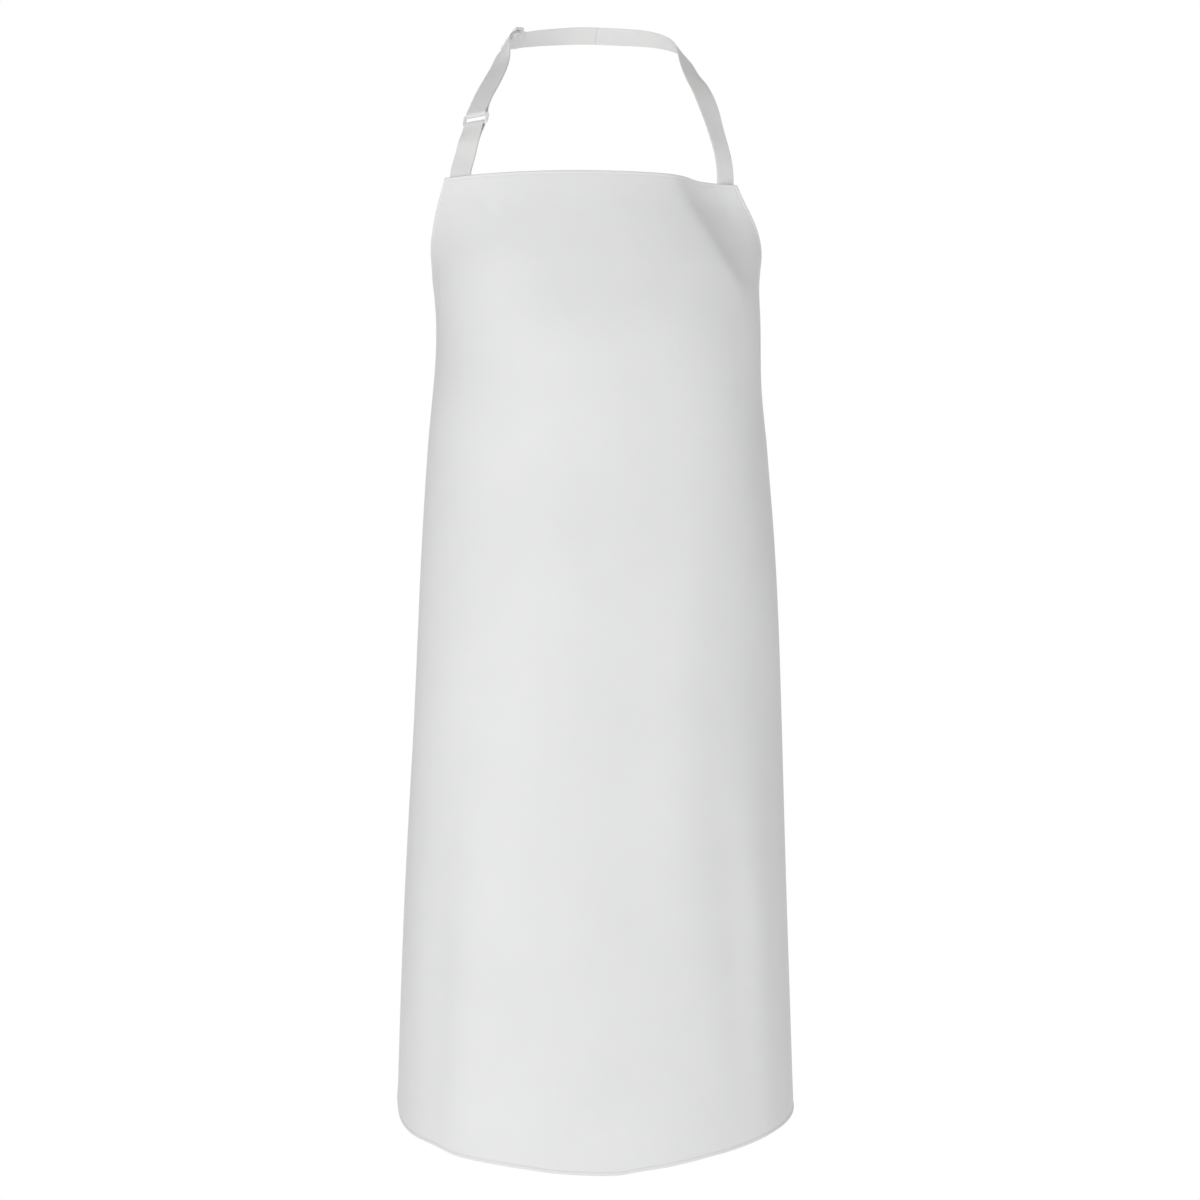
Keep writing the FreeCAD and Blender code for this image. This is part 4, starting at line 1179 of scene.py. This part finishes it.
def rounded_path(width, height, radius, corner_steps=10, edge_steps=6):
    """Closed path round a rectangle with rounded corners: points and outward directions."""
    half_w, half_h = width / 2.0 - radius, height / 2.0 - radius
    path = []
    corners = [(half_w, half_h, 0.0), (-half_w, half_h, 90.0), (-half_w, -half_h, 180.0),
               (half_w, -half_h, 270.0)]
    for k, (x, y, start) in enumerate(corners):
        for step in range(corner_steps + 1):
            turn = math.radians(start + 90.0 * step / corner_steps)
            path.append((x + radius * math.cos(turn), y + radius * math.sin(turn),
                         math.cos(turn), math.sin(turn)))
        nx, ny, _ = corners[(k + 1) % 4]
        turn = math.radians(start + 90.0)
        begin = (x + radius * math.cos(turn), y + radius * math.sin(turn))
        end = (nx + radius * math.cos(turn), ny + radius * math.sin(turn))
        for step in range(1, edge_steps):
            part = step / edge_steps
            path.append((begin[0] + (end[0] - begin[0]) * part,
                         begin[1] + (end[1] - begin[1]) * part,
                         math.cos(turn), math.sin(turn)))
    return np.array(path)


def bar_section(width, thickness, squareness=3.2, count=24):
    """Rounded bar section (outward, up)."""
    turns = np.linspace(0.0, TURN, count, endpoint=False)
    power = 2.0 / squareness
    cosine, sine = np.cos(turns), np.sin(turns)
    return np.stack([np.sign(cosine) * np.abs(cosine) ** power * width / 2.0,
                     np.sign(sine) * np.abs(sine) ** power * thickness / 2.0], axis=-1)


def frame_loop(width, height, radius, bar, thickness):
    """Closed moulded frame: points and quads in its own millimetres."""
    path = rounded_path(width - bar, height - bar, radius)
    section = bar_section(bar, thickness)
    points = []
    for x, y, out_x, out_y in path:
        for outward, up in section:
            points.append((x + out_x * outward, y + out_y * outward, up))
    return points, tube_faces(len(path), len(section), flip=True, closed=True)


BAR_STEPS = 160
RIDGE_PITCH = 1.6


def straight_bar(length, bar, thickness, ridges):
    """Bar along X with fine raised ridges for grip."""
    section = bar_section(bar, thickness)
    points = []
    for step in range(BAR_STEPS + 1):
        x = length * (step / BAR_STEPS - 0.5)
        swell = 1.0 + ridges * max(0.0, math.sin(TURN * x / RIDGE_PITCH)) ** 2
        points += [(x, outward, up * swell) for outward, up in section]
    return points, tube_faces(BAR_STEPS + 1, len(section))


def placed_hardware(name, parts, station, lift, body, node):
    """Moulded parts joined in one piece, X across the tape and Y along it."""
    centre, along, face, across = (v[0] for v in loop_frames(station))
    axes = np.stack([across, -along, face])
    points, faces = [], []
    for part_points, part_faces in parts:
        first = len(points)
        points += [centre + face * lift + np.array(p) @ axes for p in part_points]
        faces += [tuple(first + c for c in f) for f in part_faces]
    obj = add_mesh(name, np.array(points) * MM, faces)
    return finish_piece(obj, body, PLASTIC, [node])


SLIDER_THICKNESS = 2.6
SLIDER_GAP = 0.3
ring_parts = [frame_loop(width=32.0, height=15.0, radius=2.6, bar=3.0, thickness=3.0)]
slider_parts = [
    frame_loop(width=32.0, height=24.0, radius=3.4, bar=3.0, thickness=SLIDER_THICKNESS),
    straight_bar(length=28.5, bar=3.0, thickness=2.3, ridges=0.10),
]
placed_hardware("ring", ring_parts, ring_station, -LAYER_STEP / 2.0, "ring", "strap_ring")
placed_hardware("slider", slider_parts, slider_station,
                TAPE / 2.0 + SLIDER_GAP + SLIDER_THICKNESS / 2.0, "slider", "strap_slider")

# ---------------------------------------------------------------- waist ties and bow

knot_centre = np.array([0.0, 58.0, TIE_LEVEL - 8.0])


def through(points, directions, spacing=1.5):
    """Smooth centres and width directions through a few points."""
    lengths = path_lengths(points)
    wanted = np.linspace(0.0, lengths[-1], int(lengths[-1] / spacing) + 2)
    return natural_spline(lengths, points, wanted), natural_spline(lengths, directions, wanted)


def tie_tape(name, points, directions, node, knots):
    """Webbing gathered at its knots, each given as (part of the length, width, reach)."""
    centres, across = through(points, directions)
    parts = np.linspace(0.0, 1.0, len(centres))
    gathered = np.ones(len(centres))
    for at, narrow, reach in knots:
        gathered -= (1.0 - narrow) * np.exp(-((parts - at) / reach) ** 2)
    obj = tape_mesh(name, centres, across, gathered=gathered)
    return finish_piece(obj, "apron", TIE_WEBBING, [node])


TIE_INSETS = np.array([36.0, 24.0, 12.0, 2.0])
TIE_BEND = 22.0
# Outline of a bow loop from the knot: out to the side, up.
BOW_OUTLINE = [(7.0, 2.0), (18.0, 4.5), (34.0, 9.0), (56.0, 5.0), (76.0, -10.0), (87.0, -31.0),
               (82.0, -48.0), (67.0, -50.0), (48.0, -38.0), (31.0, -21.0), (18.0, -9.0),
               (7.0, -4.0)]
BOW_BACK = 7.5
TAIL_STEPS = 8
TAIL_START = 18.0
TAIL_DROP = 235.0


def build_tie(side_name, direction):
    """Webbing from behind the waist corner to the knot."""
    across = direction * (HALF_PANEL - TIE_INSETS)
    levels = np.full(len(TIE_INSETS), TIE_LEVEL)
    sewn = cloth_surface(across, levels) + cloth_normal(across, levels) * SEWN_LIFT
    start = sewn[-1]
    end = knot_centre + np.array([direction * 8.0, -5.0, 0.0])
    bend = start + unit(sewn[-1] - sewn[-2]) * TIE_BEND
    points = list(sewn)
    for part in (0.25, 0.5, 0.75, 0.92, 1.0):
        points.append(start * (1.0 - part) ** 2 + bend * (2.0 * part * (1.0 - part))
                      + end * part ** 2)
    upright = [(0.0, 0.0, 1.0)] * len(points)
    tie_tape("tie_strap_" + side_name, points, upright, "waist_tie_" + side_name,
             [(1.0, 0.55, 0.10)])


def build_bow(side_name, direction):
    """Loop of the bow, with both ends in the knot."""
    points = [knot_centre + np.array([direction * x, BOW_BACK + 0.02 * x, z])
              for x, z in BOW_OUTLINE]
    turns = [(0.05 * direction * k / len(points), 1.0, 0.10 * math.sin(0.6 * k))
             for k in range(len(points))]
    tie_tape("bow_" + side_name, points, turns, "bow_loop_" + side_name,
             [(0.0, 0.6, 0.05), (1.0, 0.6, 0.05)])


def build_tail(side_name, direction):
    """Free end that hangs from the knot and turns a little on its way down."""
    points = [knot_centre + np.array([direction * 5.0, direction * 1.5, -6.0])]
    turns = [(1.0, 0.05 * direction, 0.0)]
    for step in range(TAIL_STEPS + 1):
        part = step / TAIL_STEPS
        points.append(knot_centre + np.array([
            direction * (7.0 + 30.0 * part ** 1.2),
            direction * (2.5 + 4.0 * math.sin(3.0 * part)), -TAIL_START - TAIL_DROP * part]))
        turn = direction * (0.15 + 0.5 * part)
        turns.append((math.cos(turn), math.sin(turn), 0.0))
    tie_tape("tail_" + side_name, points, turns, "tie_tail_" + side_name, [(0.0, 0.6, 0.06)])


for side_name, direction in SIDES:
    build_tie(side_name, direction)
    build_bow(side_name, direction)
    build_tail(side_name, direction)

KNOT_SQUARENESS = 2.5
KNOT_TAPE = 1.5


def knot_wrap(name, tilt, height, depth, width, lean, replaces=()):
    """Turn of webbing round the knot."""
    turns = np.linspace(0.0, TURN, 73)
    power = 2.0 / KNOT_SQUARENESS
    sine, cosine = np.sin(turns), np.cos(turns)
    centres = np.stack([lean * sine, np.sign(cosine) * np.abs(cosine) ** power * depth,
                        np.sign(sine) * np.abs(sine) ** power * height], axis=-1)
    directions = np.stack([np.full(turns.shape, math.cos(tilt)), 0.0 * turns,
                           math.sin(tilt) * cosine], axis=-1)
    obj = tape_mesh(name, knot_centre + centres, directions, width=width, thickness=KNOT_TAPE)
    finish_piece(obj, "apron", TIE_WEBBING, replaces)


knot_wrap("knot_core", tilt=0.10, height=10.2, depth=7.0, width=24.0, lean=-2.0)
knot_wrap("bow_knot_wrap", tilt=-0.22, height=12.6, depth=8.6, width=20.0, lean=2.5,
          replaces=["bow_knot"])

# ---------------------------------------------------------------- floor, light, camera

FLOOR_GAP = 0.35
FLOOR_RADIUS = 16.0
AMBIENT = 0.44
WHITE = (1.0, 1.0, 1.0, 1.0)
apron_middle = Vector((0.0, -0.08, -0.62))


def white_to_camera(tree, kind, other_rays, target):
    """Even white to the camera, and the given shader to every other ray."""
    seen = tree.nodes.new("ShaderNodeLightPath")
    mix = tree.nodes.new("ShaderNodeMixShader")
    white = tree.nodes.new(kind)
    white.inputs["Color"].default_value = WHITE
    white.inputs["Strength"].default_value = 1.0
    tree.links.new(seen.outputs["Is Camera Ray"], mix.inputs["Fac"])
    tree.links.new(other_rays, mix.inputs[1])
    tree.links.new(white.outputs[0], mix.inputs[2])
    tree.links.new(mix.outputs["Shader"], target)


def build_floor():
    """Plain pale floor some way below the hem."""
    bpy.ops.mesh.primitive_circle_add(vertices=96, radius=FLOOR_RADIUS, fill_type="NGON",
                                      location=(0.0, 0.0, cad_box[0][2] - FLOOR_GAP))
    floor = bpy.context.object
    floor.name = "studio_floor"
    paper = Nodes("studio_paper")
    grain = paper.add("ShaderNodeTexNoise", Scale=3.0, Detail=3.0)
    paper.link(coloured(paper, grain.outputs["Fac"], (0.80, 0.80, 0.80), (0.84, 0.84, 0.84)),
               paper.shader.inputs["Base Color"])
    paper.set(Roughness=0.9, Emission_Strength=0.36, Emission_Color=WHITE)
    white_to_camera(paper.tree, "ShaderNodeEmission", paper.shader.outputs["BSDF"],
                    paper.tree.nodes["Material Output"].inputs["Surface"])
    floor.data.materials.append(paper.material)


def build_world():
    """Even light from all round."""
    world = bpy.data.worlds.new("studio")
    bpy.context.scene.world = world
    world.use_nodes = True
    tree = world.node_tree
    air = tree.nodes["Background"]
    air.inputs["Color"].default_value = WHITE
    air.inputs["Strength"].default_value = AMBIENT
    white_to_camera(tree, "ShaderNodeBackground", air.outputs["Background"],
                    tree.nodes["World Output"].inputs["Surface"])


def soft_light(name, place, size, power):
    """Square softbox that looks at the apron."""
    data = bpy.data.lights.new(name, "AREA")
    data.shape = "SQUARE"
    data.size = size
    data.energy = power
    light = bpy.data.objects.new(name, data)
    bpy.context.scene.collection.objects.link(light)
    light.location = place
    light.rotation_euler = (apron_middle - Vector(place)).to_track_quat("-Z", "Y").to_euler()


build_floor()
build_world()
soft_light("key_light", (-2.1, -3.2, -0.45), 2.0, 41.0)
soft_light("fill_light", (1.1, -3.5, -0.4), 2.0, 12.0)
soft_light("back_light", (0.6, 3.2, 0.9), 2.4, 22.0)

CAMERA_PLACE = (-0.4251, -3.5739, -0.6375)
CAMERA_AIM = Vector((0.1219, 0.9925, 0.0))
CAMERA_ANGLE = 0.37276
camera_data = bpy.data.cameras.new("camera")
camera_data.sensor_fit = "HORIZONTAL"
camera_data.angle = CAMERA_ANGLE
camera_data.clip_end = 60.0
camera = bpy.data.objects.new("camera", camera_data)
bpy.context.scene.collection.objects.link(camera)
camera.location = CAMERA_PLACE
camera.rotation_euler = CAMERA_AIM.to_track_quat("-Z", "Y").to_euler()
bpy.context.scene.camera = camera
bpy.context.scene.view_settings.view_transform = "Standard"
